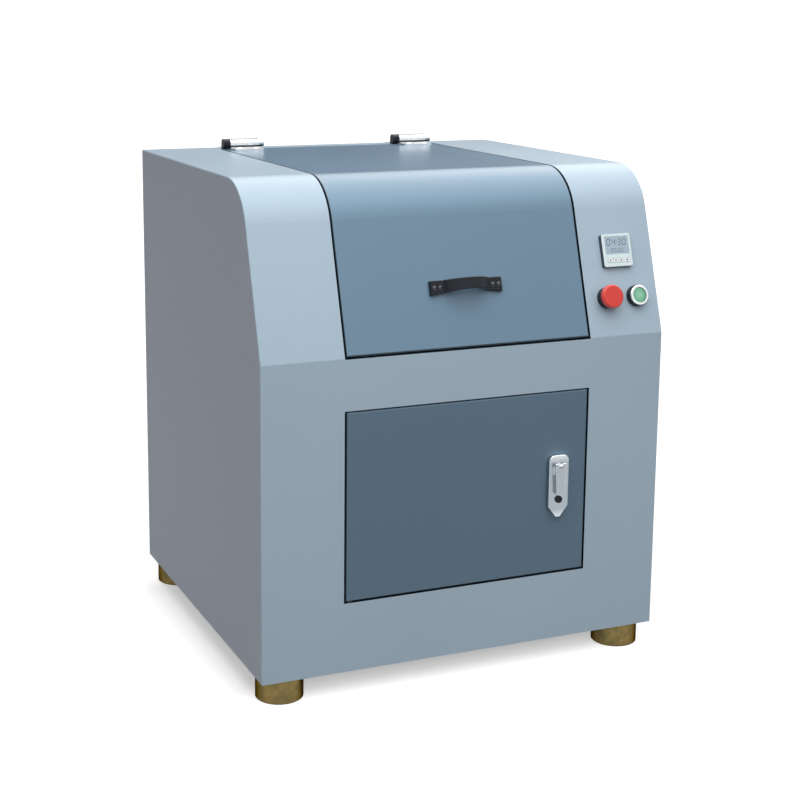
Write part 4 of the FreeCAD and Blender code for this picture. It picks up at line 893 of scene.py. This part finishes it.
def joined(meshes: Iterable[MeshData]) -> MeshData:
    """Several meshes put together as one."""
    points: list[np.ndarray] = []
    faces: list[list[int]] = []
    start = 0
    for block, corners in meshes:
        points.append(block)
        faces += [[number + start for number in face] for face in corners]
        start += len(block)
    return np.concatenate(points), faces


def put_object(name: str, data: bpy.types.ID) -> bpy.types.Object:
    """Make an object and link it to the scene."""
    obj = bpy.data.objects.new(name, data)
    bpy.context.scene.collection.objects.link(obj)
    return obj


def piece(name: str, mesh_data: MeshData, finish: Finish, body: str,
          smooth: bool = True) -> bpy.types.Object:
    """Make a mesh object that rides on a body.

    Args:
        name: the object's name.
        mesh_data: points in metres, and faces.
        finish: its finish.
        body: the body it rides on.
        smooth: whether its faces are shaded smooth up to 40 degrees.

    Returns:
        The object.
    """
    points, faces = mesh_data
    mesh = bpy.data.meshes.new(name)
    mesh.from_pydata(points.tolist(), [], faces)
    shell = bmesh.new()
    shell.from_mesh(mesh)
    bmesh.ops.recalc_face_normals(shell, faces=shell.faces)
    shell.to_mesh(mesh)
    shell.free()
    mesh.materials.append(finish.material())
    obj = put_object(name, mesh)
    if smooth:
        mesh.shade_smooth()
        mesh.set_sharp_from_angle(angle=SMOOTH_BELOW)
    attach(obj, body)
    LOG.info("piece %s: %d points, rides on %s", name, len(points), body)
    return obj


def dress(nodes: Iterable[str], finish: Finish) -> None:
    """Give CAD nodes a finish.

    Args:
        nodes: names of the nodes.
        finish: the finish for all of them.
    """
    material = finish.material()
    for name in nodes:
        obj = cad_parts[name]
        if not obj.material_slots:
            obj.data.materials.append(material)
        for place in obj.material_slots:
            place.material = material
        LOG.info("dressed %s with %s", name, finish.name)


@dataclass(frozen=True)
class SocketScrews:
    """Button-head screws with a hexagon socket. Millimetres; dome and floor are shares of the head's height."""

    head_radius: float
    head_height: float
    key: float
    dome: float = 0.55
    floor: float = 0.35
    sides: int = 36
    dome_rings: int = 5

    def rings(self) -> np.ndarray:
        """Rings of one head: rim, dome down to the socket's edge, socket wall and floor.

        Returns:
            Rings by sides by three. On the dome the height falls with the square of the
            radius's share; the socket's radius is half the key over the cosine of the angle
            from the middle of its flat.
        """
        turn = np.arange(self.sides) * 2 * math.pi / self.sides
        hexagon = self.key / 2 / np.cos((turn % (math.pi / 3)) - math.pi / 6)
        share = np.linspace(0.0, 1.0, self.dome_rings)[:, None]
        radius = self.head_radius + (hexagon - self.head_radius) * share
        height = self.head_height * (1.0 - self.dome * (radius / self.head_radius) ** 2)
        level = np.ones((1, self.sides))
        low = self.head_height * self.floor
        radii = np.concatenate([level * self.head_radius, radius, level * hexagon * 0.97, level * hexagon * 0.93])
        heights = np.concatenate([level * 0.0, height, level * (low + 0.1), level * low])
        return np.concatenate([radii[..., None] * on_circle(turn), heights[..., None]], axis=-1)

    def build(self, seats: Sequence[tuple[Face, float]]) -> MeshData:
        """Set a head on each seat.

        Args:
            seats: face and height of the seat above it.

        Returns:
            Points and faces of all heads together.
        """
        points, faces = tube(self.rings())
        return joined((face.place(points + np.array([0.0, 0.0, height])), faces) for face, height in seats)


# ---------------------------------------------------------------- sub-assemblies
@dataclass
class SubAssembly:
    """Part of the mill. Its looks say which nodes wear each finish."""

    store: dict[str, Finish]

    LOOKS: ClassVar[dict[str, tuple[str, ...]]] = {}

    def build(self) -> None:
        """Dress the nodes, then add the pieces."""
        for finish, nodes in self.LOOKS.items():
            dress(nodes, self.store[finish])
        self.pieces()

    def pieces(self) -> None:
        """Add the pieces that the CAD hasn't got; none unless a sub-assembly says so."""


@dataclass
class Cabinet(SubAssembly):
    """Sheet-steel cabinet with its chamber, feet and back. Millimetres."""

    edge_x: float = 297.0
    edge_z: tuple[float, ...] = (60.0, 220.0, 380.0, 540.0, 700.0)
    between_x: tuple[float, ...] = (-148.0, 0.0, 148.0)
    between_z: tuple[float, ...] = (47.0, 705.0)

    LOOKS = {
        "cover_paint": ("front_cover",),
        "chamber_paint": ("chamber_floor", "chamber_walls"),
        # Side and back panels wear the cabinet's paint darkened as painted shade.
        "side_paint": ("left_side_panel", "right_side_panel", "rear_panel"),
        "frame_steel": ("base_plate", "frame_posts", "spring_deck"),
        "zinc_yellow": ("cabinet_feet", "foot_bolts"),
        "seal_rubber": ("lid_seal",),
    }

    def pieces(self) -> None:
        """Screws around the back panel."""
        places = [(side * self.edge_x, z) for side in (-1, 1) for z in self.edge_z]
        places += [(x, z) for x in self.between_x for z in self.between_z]
        screws = SocketScrews(head_radius=4.5, head_height=2.4, key=3.0)
        piece("rear_panel_screws", screws.build([(Face.rear(x, z), 0.0) for x, z in places]),
              self.store["bright_steel"], "cabinet")


@dataclass
class Lid(SubAssembly):
    """Bent lid with its foam, handle and hinges. Millimetres."""

    liner_half: float = 170.5
    liner_start: float = 31.5
    liner_rear: float = 220.1
    sheet: float = 2.1
    foam_thickness: float = 17.8
    foam_valley: float = 8.5
    foam_pitch: float = 31.0
    foam_points: tuple[int, int] = (150, 110)
    hinge_x: tuple[float, float] = (-149.25, 150.75)
    leaf_top: float = 2.0
    leaf_screw_x: float = 14.0
    lid_leaf_y: float = 224.15
    rail_leaf_y: float = 267.15
    handle_rise: float = 86.0
    handle_foot: float = 7.0
    handle_screw_x: tuple[float, float] = (40.5, 49.5)

    LOOKS = {
        "lid_paint": ("lid_shell",),
        "black_plastic": ("lid_handle", "hinge_end_blocks"),
        "hinge_chrome": ("lid_hinge_leaves", "rail_hinge_leaves"),
        "bright_steel": ("hinge_pins",),
    }

    def pieces(self) -> None:
        """Foam, and the screw heads of the handle and of the hinge leaves."""
        self.foam()
        seats = [(Face.slope(side * x, self.handle_rise), self.handle_foot)
                 for side in (-1, 1) for x in self.handle_screw_x]
        screws = SocketScrews(head_radius=3.2, head_height=1.7, key=2.2)
        heads = piece("handle_screw_heads", screws.build(seats), self.store["blackened_steel"], "lid")
        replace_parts(heads, "handle_screws")
        self.leaf_heads("lid_leaf_heads", "lid_leaf_screws", "lid", self.lid_leaf_y)
        self.leaf_heads("rail_leaf_heads", "rail_leaf_screws", "cabinet", self.rail_leaf_y)

    def leaf_heads(self, name: str, node: str, body: str, y: float) -> None:
        """Screw heads of one row of hinge leaves.

        Args:
            name: the piece's name.
            node: the node it replaces.
            body: the body it rides on.
            y: where the row lies.
        """
        seats = [(Face.top(middle + side * self.leaf_screw_x, y), self.leaf_top)
                 for middle in self.hinge_x for side in (-1, 1)]
        screws = SocketScrews(head_radius=4.4, head_height=2.1, key=3.0)
        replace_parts(piece(name, screws.build(seats), self.store["chrome"], body), node)

    def foam(self) -> None:
        """Egg-crate foam that follows the lid.

        The depth below the lid is the valley plus half the rest times one plus the mean of
        two cosines, one along the lid and one across it.
        """
        travel = np.linspace(self.liner_start, Outline.travel_of_top(self.liner_rear), self.foam_points[0])
        across = np.linspace(-self.liner_half, self.liner_half, self.foam_points[1])
        s, x = np.meshgrid(travel, across, indexing="ij")
        wave = (np.cos(2 * math.pi * s / self.foam_pitch) + np.cos(2 * math.pi * x / self.foam_pitch)) / 2
        depth = self.foam_valley + (self.foam_thickness - self.foam_valley) * (1 + wave) / 2
        front, back = (np.stack([x, *Outline.at(s, inset)], axis=-1) * MM
                       for inset in (self.sheet + depth, self.sheet))
        foam = piece("lid_foam", slab(front, back), self.store["foam"], "lid")
        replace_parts(foam, "lid_liner")


class Door(SubAssembly):
    """Door of the motor space with its swing-lever lock."""

    LOOKS = {
        "door_paint": ("door_panel",),
        "frame_steel": ("door_hinge_pins",),
        "bright_steel": ("lock_cam",),
        "plated": ("lock_housing", "lock_lever"),
        "chrome": ("lock_spindle",),
        "black_plastic": ("lock_button",),
    }


class Glyph(Enum):
    """Marks on the timer's keys, in their order. A triangle's value is the angle of its tip."""

    STEP = math.pi
    UP = math.pi / 2
    DOWN = -math.pi / 2
    SET = None

    def outline(self, size: float) -> np.ndarray:
        """Corners of the mark about its middle, eight points each.

        Args:
            size: distance from the middle to a triangle's tip.

        Returns:
            An octagon for SET, and for the others a triangle with two points more on each side
            but one.
        """
        if self is Glyph.SET:
            return on_circle(np.arange(8) * math.pi / 4 + math.pi / 8) * size * 0.8
        corners = on_circle(self.value + np.array([0.0, 2.0, 4.0]) * math.pi / 3) * size
        sides = np.roll(corners, -1, axis=0) - corners
        outline = corners[:, None] + sides[:, None] * np.array([0.0, 1 / 3, 2 / 3])[None, :, None]
        return np.delete(outline.reshape(-1, 2), 4, axis=0)


@dataclass(frozen=True)
class DigitRow:
    """Four seven-segment digits with a colon, their middle above the timer's. Millimetres."""

    text: str
    middle: float
    height: float
    width: float
    stroke: float
    pitch: float

    SLANT: ClassVar[float] = 0.08
    SEGMENTS: ClassVar[dict[str, str]] = {
        "0": "abcdef", "1": "bc", "2": "abged", "3": "abgcd", "4": "fgbc",
        "5": "afgcd", "6": "afgedc", "7": "abc", "8": "abcdefg", "9": "abcdfg",
    }

    def segments(self, digit: str) -> list[np.ndarray]:
        """Plates of one digit about its middle.

        Args:
            digit: the digit.

        Returns:
            Six corners for each lit segment.
        """
        x, z = self.width / 2, self.height / 2
        ends = {"a": ((-x, z), (x, z)), "g": ((-x, 0.0), (x, 0.0)), "d": ((-x, -z), (x, -z)),
                "f": ((-x, 0.0), (-x, z)), "b": ((x, 0.0), (x, z)),
                "e": ((-x, -z), (-x, 0.0)), "c": ((x, -z), (x, 0.0))}
        made = []
        for key in self.SEGMENTS[digit]:
            start, end = (np.array(point) for point in ends[key])
            along = (end - start) / np.linalg.norm(end - start) * self.stroke
            side = np.array([-along[1], along[0]]) / 2
            start, end = start + along * 0.2, end - along * 0.2
            made.append(np.stack([start, start + along / 2 - side, end - along / 2 - side, end,
                                  end - along / 2 + side, start + along / 2 + side]))
        return made

    def shapes(self) -> list[np.ndarray]:
        """Six corners for each lit segment of the row and for the two dots of its colon."""
        slots = (np.arange(4) - 1.5) * self.pitch + np.array([-1.0, -1.0, 1.0, 1.0]) * self.stroke * 0.6
        made = [corners + np.array([self.SLANT, 0.0]) * corners[:, 1:2] + np.array([x, self.middle])
                for digit, x in zip(self.text, slots) for corners in self.segments(digit)]
        dot = on_circle(np.arange(6) * math.pi / 3) * self.stroke * 0.55
        return made + [dot + np.array([0.0, self.middle + side * self.height * 0.22]) for side in (-1, 1)]


@dataclass
class Timer(SubAssembly):
    """Panel timer: bezel, display with the time left over the time set, keys with marks. Millimetres."""

    x: float = 247.5
    rise: float = 123.0
    rows: tuple[DigitRow, ...] = (
        DigitRow("0430", middle=12.1, height=9.0, width=4.8, stroke=1.25, pitch=8.2),
        DigitRow("0500", middle=0.1, height=5.4, width=3.0, stroke=0.8, pitch=5.2),
    )
    window_top: float = 7.5
    key_top: float = 8.5
    key_drop: float = 14.5
    key_pitch: float = 9.4
    mark_size: float = 1.7

    LOOKS = {
        "timer_plastic": ("timer_case",),
        "display": ("timer_window",),
        "key_white": tuple(f"timer_key_{number}" for number in range(1, 5)),
    }

    def pieces(self) -> None:
        """Digits on the window, and one mark on each key."""
        face = Face.slope(self.x, self.rise)
        shapes = np.stack([corners for row in self.rows for corners in row.shapes()])
        piece("timer_digits", plates(shapes, face, self.window_top), self.store["segment_dark"],
              "cabinet", smooth=False)
        for index, glyph in enumerate(Glyph):
            middle = np.array([(index - 1.5) * self.key_pitch, -self.key_drop])
            outline = glyph.outline(self.mark_size) + middle
            piece(f"timer_key_{index + 1}_mark", plates(outline[None], face, self.key_top),
                  self.store["printed_black"], f"timer_key_{index + 1}", smooth=False)


class PushButtons(SubAssembly):
    """Red stop and green start button."""

    LOOKS = {
        "red_cap": ("stop_button_cap",),
        "green_cap": ("start_button_cap",),
        "chrome": ("start_button_ring",),
        "black_plastic": ("stop_button_collar", "start_button_collar", "contact_blocks"),
    }


class Electrics(SubAssembly):
    """Mounting plate, contactor and cable gland."""

    LOOKS = {
        "bright_steel": ("electrical_plate",),
        "timer_plastic": ("contactor",),
        "black_plastic": ("cable_gland",),
    }


@dataclass
class VibratingTable(SubAssembly):
    """Sprung table with the vibration motor. Millimetres."""

    axis_y: float = -23.725
    deck_top: float = 296.0
    table_z: float = 384.0
    spring_circle: float = 140.0
    spring_count: int = 8
    spring_radius: float = 14.5
    wire: float = 5.0
    ground: float = 0.8
    turns: float = 7.5
    travel: float = 6.0

    LOOKS = {
        "casting_paint": ("spring_plate", "bowl_seat", "motor_housing", "eccentric_weight"),
        "bright_steel": ("guide_studs",),
        "hard_steel": ("motor_bearings", "motor_rotor"),
    }

    def spring_rings(self, steps: int = 190, sides: int = 12) -> np.ndarray:
        """Rings of one spring about the Z axis.

        Args:
            steps: rings along the wire.
            sides: points round the wire.

        Returns:
            Rings by sides by three. The wire's middle runs round a circle while it rises; the
            rise per turn is one wire width at both ends and swells smoothly to the open pitch.
            Points past the end planes are cut flat onto them, as on a ground spring.
        """
        share = np.linspace(0.0, 1.0, steps)
        ends = np.clip(np.minimum(share, 1.0 - share) * self.turns / 0.9, 0.0, 1.0)
        swell = ends * ends * (3 - 2 * ends)
        opening = (swell[1:] + swell[:-1]) / 2
        closed = self.wire * self.turns / (steps - 1)
        length = self.table_z - self.deck_top - self.wire + 2 * self.ground
        open_rate = (length - closed * (steps - 1)) / np.sum(opening)
        rise = np.concatenate([[0.0], np.cumsum(closed + open_rate * opening)])
        turn = share * self.turns * 2 * math.pi
        outward = np.stack([np.cos(turn), np.sin(turn), np.zeros_like(turn)], axis=-1)
        slope = np.gradient(rise, turn) / self.spring_radius
        forward = np.stack([-np.sin(turn), np.cos(turn), slope], axis=-1)
        forward /= np.linalg.norm(forward, axis=-1, keepdims=True)
        middle = outward * self.spring_radius
        middle[:, 2] = self.deck_top + self.wire / 2 - self.ground + rise
        across = np.stack([outward, np.cross(outward, forward)], axis=1)
        points = middle[:, None] + on_circle(np.arange(sides) * 2 * math.pi / sides) @ across * self.wire / 2
        points[..., 2] = np.clip(points[..., 2], self.deck_top + 0.05, self.table_z - 0.05)
        return points

    def pieces(self) -> None:
        """Ground springs on a circle."""
        points, faces = tube(self.spring_rings())
        middles = on_circle((np.arange(self.spring_count) + 0.5) * 2 * math.pi / self.spring_count)
        coils = joined(((points + np.array([x, self.axis_y + y, 0.0])) * MM, faces)
                       for x, y in middles * self.spring_circle)
        springs = piece("table_spring_coils", coils, self.store["spring_steel"], "vibrating_table")
        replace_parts(springs, "table_springs")
        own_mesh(springs)


class GrindingSet(SubAssembly):
    """Bowl, ring, puck and the clamp that holds the bowl."""

    LOOKS = {
        "hard_steel": ("grinding_bowl", "bowl_lid", "grinding_ring", "grinding_puck"),
        "bright_steel": ("clamp_posts", "clamp_plunger"),
        "casting_paint": ("clamp_bar",),
        "chrome": ("cam_lever",),
    }


# ---------------------------------------------------------------- studio
@dataclass(frozen=True)
class Lamp:
    """Sun lamp: the direction it comes from, its strength, and its spread in degrees."""

    name: str
    toward: Triple
    strength: float
    spread: float

    def hang(self) -> None:
        """Add the lamp to the scene."""
        light = bpy.data.lights.new(self.name, "SUN")
        light.energy = self.strength
        light.angle = math.radians(self.spread)
        direction = Vector(self.toward).normalized()
        put_light(light, direction * 4.0, direction)


@dataclass(frozen=True)
class Panel:
    """Square light panel near the object: its place, what it faces, its edge and its power."""

    name: str
    place: Triple
    target: Triple
    edge: float
    power: float

    def hang(self) -> None:
        """Add the panel to the scene."""
        light = bpy.data.lights.new(self.name, "AREA")
        light.shape = "SQUARE"
        light.size = self.edge
        light.energy = self.power
        put_light(light, Vector(self.place), Vector(self.place) - Vector(self.target))


def put_light(light: bpy.types.Light, place: Vector, toward: Vector) -> None:
    """Hang a light; reflections show the studio's own bands in its stead.

    Args:
        light: the light.
        place: where it hangs.
        toward: the direction its light comes from.
    """
    obj = put_object(light.name, light)
    obj.rotation_euler = toward.to_track_quat("Z", "Y").to_euler()
    obj.location = place
    obj.visible_glossy = False


@dataclass(frozen=True)
class Studio:
    """Pale floor, soft light, white surroundings and the camera.

    The bands are pairs of a direction's height, the sine of its elevation, and the share of
    the brightest band seen there, once for the room in front of the object and once for the
    room behind it. The shadow fade gains are pairs of a distance from the footprint, metres, and
    the glow added up to there; where they have not yet added it the floor stays darker, a painted
    shadow round the cabinet. The axes are the camera's right, up and back.
    """

    lights: tuple[Lamp | Panel, ...] = (
        Lamp("key_light", (-0.06, -0.60, 0.798), 1.47, 115.0),
        Lamp("left_fill", (-0.93, 0.0, 0.36), 0.55, 70.0),
        Lamp("rear_fill", (0.62, 0.78, 0.05), 1.4, 70.0),
        Panel("front_panel", (-0.2, -1.15, 1.75), (0.0, -0.2, 0.4), 1.6, 14.5),
    )
    ambient: float = 0.02
    ambient_colour: Colour = (0.96, 0.98, 1.0)
    floor_reach: float = 60.0
    floor_lit: float = 0.85
    floor_bounce: float = 0.08
    floor_glow: float = 0.37
    shadow_fade_gains: tuple[tuple[float, float], ...] = ((0.06, 0.26), (3.0, 0.16))
    footprint: tuple[float, float] = (0.295, 0.205)
    brightest: float = 4.8
    front_bands: tuple[tuple[float, float], ...] = ((0.0, 0.19), (0.5, 0.21), (0.766, 0.56), (0.94, 0.75), (1.0, 1.0))
    rear_bands: tuple[tuple[float, float], ...] = ((0.0, 0.01), (0.26, 0.01), (0.36, 0.05), (0.45, 0.30), (0.56, 0.5),
                                                   (0.77, 0.8), (1.0, 1.0))
    right_lift: float = 0.75
    right_start: float = 0.30
    right_span: float = 0.2
    eye: Triple = (-0.9762, -2.1923, 0.9439)
    axes: tuple[Triple, Triple, Triple] = ((0.92342, -0.38376, 0.00516), (0.06524, 0.17020, 0.98325),
                                           (-0.37821, -0.90761, 0.18221))
    lens: float = 70.87
    sensor: float = 36.0
    shift: tuple[float, float] = (0.0625, -0.1250)

    def build(self) -> None:
        """Set up floor, world, lights, camera and view."""
        self.floor()
        self.world()
        for light in self.lights:
            light.hang()
        self.camera()
        bpy.context.scene.view_settings.view_transform = "Standard"

    def floor(self) -> None:
        """Wide floor that turns white for the camera but keeps the shadow, made deeper round the cabinet by a painted
        shadow.
        """
        x, y = np.meshgrid(*[np.linspace(-self.floor_reach, self.floor_reach, 3)] * 2, indexing="ij")
        points = np.stack([x, y, np.zeros_like(x)], axis=-1).reshape(-1, 3)
        mesh = bpy.data.meshes.new("floor")
        mesh.from_pydata(points.tolist(), [], grid_faces(3, 3, False).tolist())
        obj = put_object("floor", mesh)
        material = bpy.data.materials.new("floor_paper")
        material.use_nodes = True
        sheet = NodeSheet(material.node_tree)
        seen, camera = self.seen(sheet)
        paper = sheet.blend(seen, (self.floor_bounce,) * 3, (self.floor_lit,) * 3)
        shaders = {0: sheet.read("ShaderNodeBsdfDiffuse", 0, Color=paper),
                   1: sheet.read("ShaderNodeEmission", 0,
                                 Strength=seen * self.floor_glow + camera * self.glow_round_painted_shadow(sheet))}
        sheet.add("ShaderNodeOutputMaterial", Surface=sheet.numbered("ShaderNodeAddShader", 0, shaders))
        mesh.materials.append(material)

    def glow_round_painted_shadow(self, sheet: NodeSheet) -> Signal:
        """Added glow of the floor for the camera, which leaves a painted shadow round the cabinet.

        Args:
            sheet: the floor material's sheet.

        Returns:
            The strength: nothing under the cabinet, where the floor stays darker as a painted shadow, and each gain
                in full from its distance on.
        """
        place = sheet.split(sheet.read("ShaderNodeTexCoord", "Object"))
        x, y = ((abs(way) - half).at_least(0.0) for way, half in zip(place, self.footprint))
        away = (x * x + y * y).root()
        near, far = ((away / reach).at_most(1.0) * gain for reach, gain in self.shadow_fade_gains)
        return near + far

    @staticmethod
    def seen(sheet: NodeSheet) -> tuple[Signal, Signal]:
        """Tell the rays apart.

        Args:
            sheet: the sheet of the floor or the world.

        Returns:
            1 for rays of the camera, of reflections and through glass, and 0 for others; and
            1 for rays of the camera alone.
        """
        path = sheet.add("ShaderNodeLightPath")
        camera, glossy, through = (Signal(sheet, path.outputs[f"Is {kind} Ray"])
                                   for kind in ("Camera", "Glossy", "Transmission"))
        return camera.at_least(glossy).at_least(through), camera

    def world(self) -> None:
        """White surroundings for the camera, a banded studio for reflections, soft light for the rest."""
        world = bpy.data.worlds.new("studio")
        world.use_nodes = True
        bpy.context.scene.world = world
        sheet = NodeSheet(world.node_tree)
        seen, camera = self.seen(sheet)
        x, y, z = sheet.split(sheet.read("ShaderNodeTexCoord", "Generated"))
        behind = (y + 0.5).at_least(0.0).at_most(1.0)
        beside = (x - self.right_start).at_least(0.0).at_most(self.right_span)
        room = sheet.blend(behind, self.ramp(sheet, z, self.front_bands),
                           self.ramp(sheet, z + beside * self.right_lift, self.rear_bands))
        shown = sheet.blend(camera, room, (1.0 / self.brightest,) * 3)
        shaders = {0: seen,
                   1: sheet.read("ShaderNodeBackground", 0, Color=self.ambient_colour, Strength=self.ambient),
                   2: sheet.read("ShaderNodeBackground", 0, Color=shown, Strength=self.brightest)}
        sheet.add("ShaderNodeOutputWorld", Surface=sheet.numbered("ShaderNodeMixShader", 0, shaders))

    @staticmethod
    def ramp(sheet: NodeSheet, height: Signal, bands: Sequence[tuple[float, float]]) -> Signal:
        """Bands of grey over the height of a direction.

        Args:
            sheet: the world's sheet.
            height: the height.
            bands: heights and greys, from the lowest height up.

        Returns:
            The grey.
        """
        node = sheet.add("ShaderNodeValToRGB", Fac=height)
        elements = node.color_ramp.elements
        for position, _ in bands[1:-1]:
            elements.new(position)
        for element, (position, value) in zip(elements, bands):
            element.position = position
            element.color = (value, value, value, 1.0)
        return Signal(sheet, node.outputs["Color"])

    def camera(self) -> None:
        """Camera at the viewing angle, with the shift that frames the object."""
        data = bpy.data.cameras.new("camera")
        data.lens = self.lens
        data.sensor_width = self.sensor
        data.shift_x, data.shift_y = self.shift
        data.clip_end = 300.0
        camera = put_object("camera", data)
        camera.matrix_world = Matrix.Translation(self.eye) @ Matrix(self.axes).transposed().to_4x4()
        bpy.context.scene.camera = camera


# ---------------------------------------------------------------- the whole mill
def main() -> None:
    """Build every sub-assembly, then the studio."""
    logging.basicConfig(level=logging.INFO, format="%(message)s")
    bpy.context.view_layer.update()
    Finish.groups = SurfaceGroups()
    store = finishes()
    for kind in (Cabinet, Lid, Door, Timer, PushButtons, Electrics, VibratingTable, GrindingSet):
        kind(store).build()
        LOG.info("built %s", kind.__name__)
    Studio().build()
    LOG.info("built Studio")


if __name__ == "__main__":
    main()
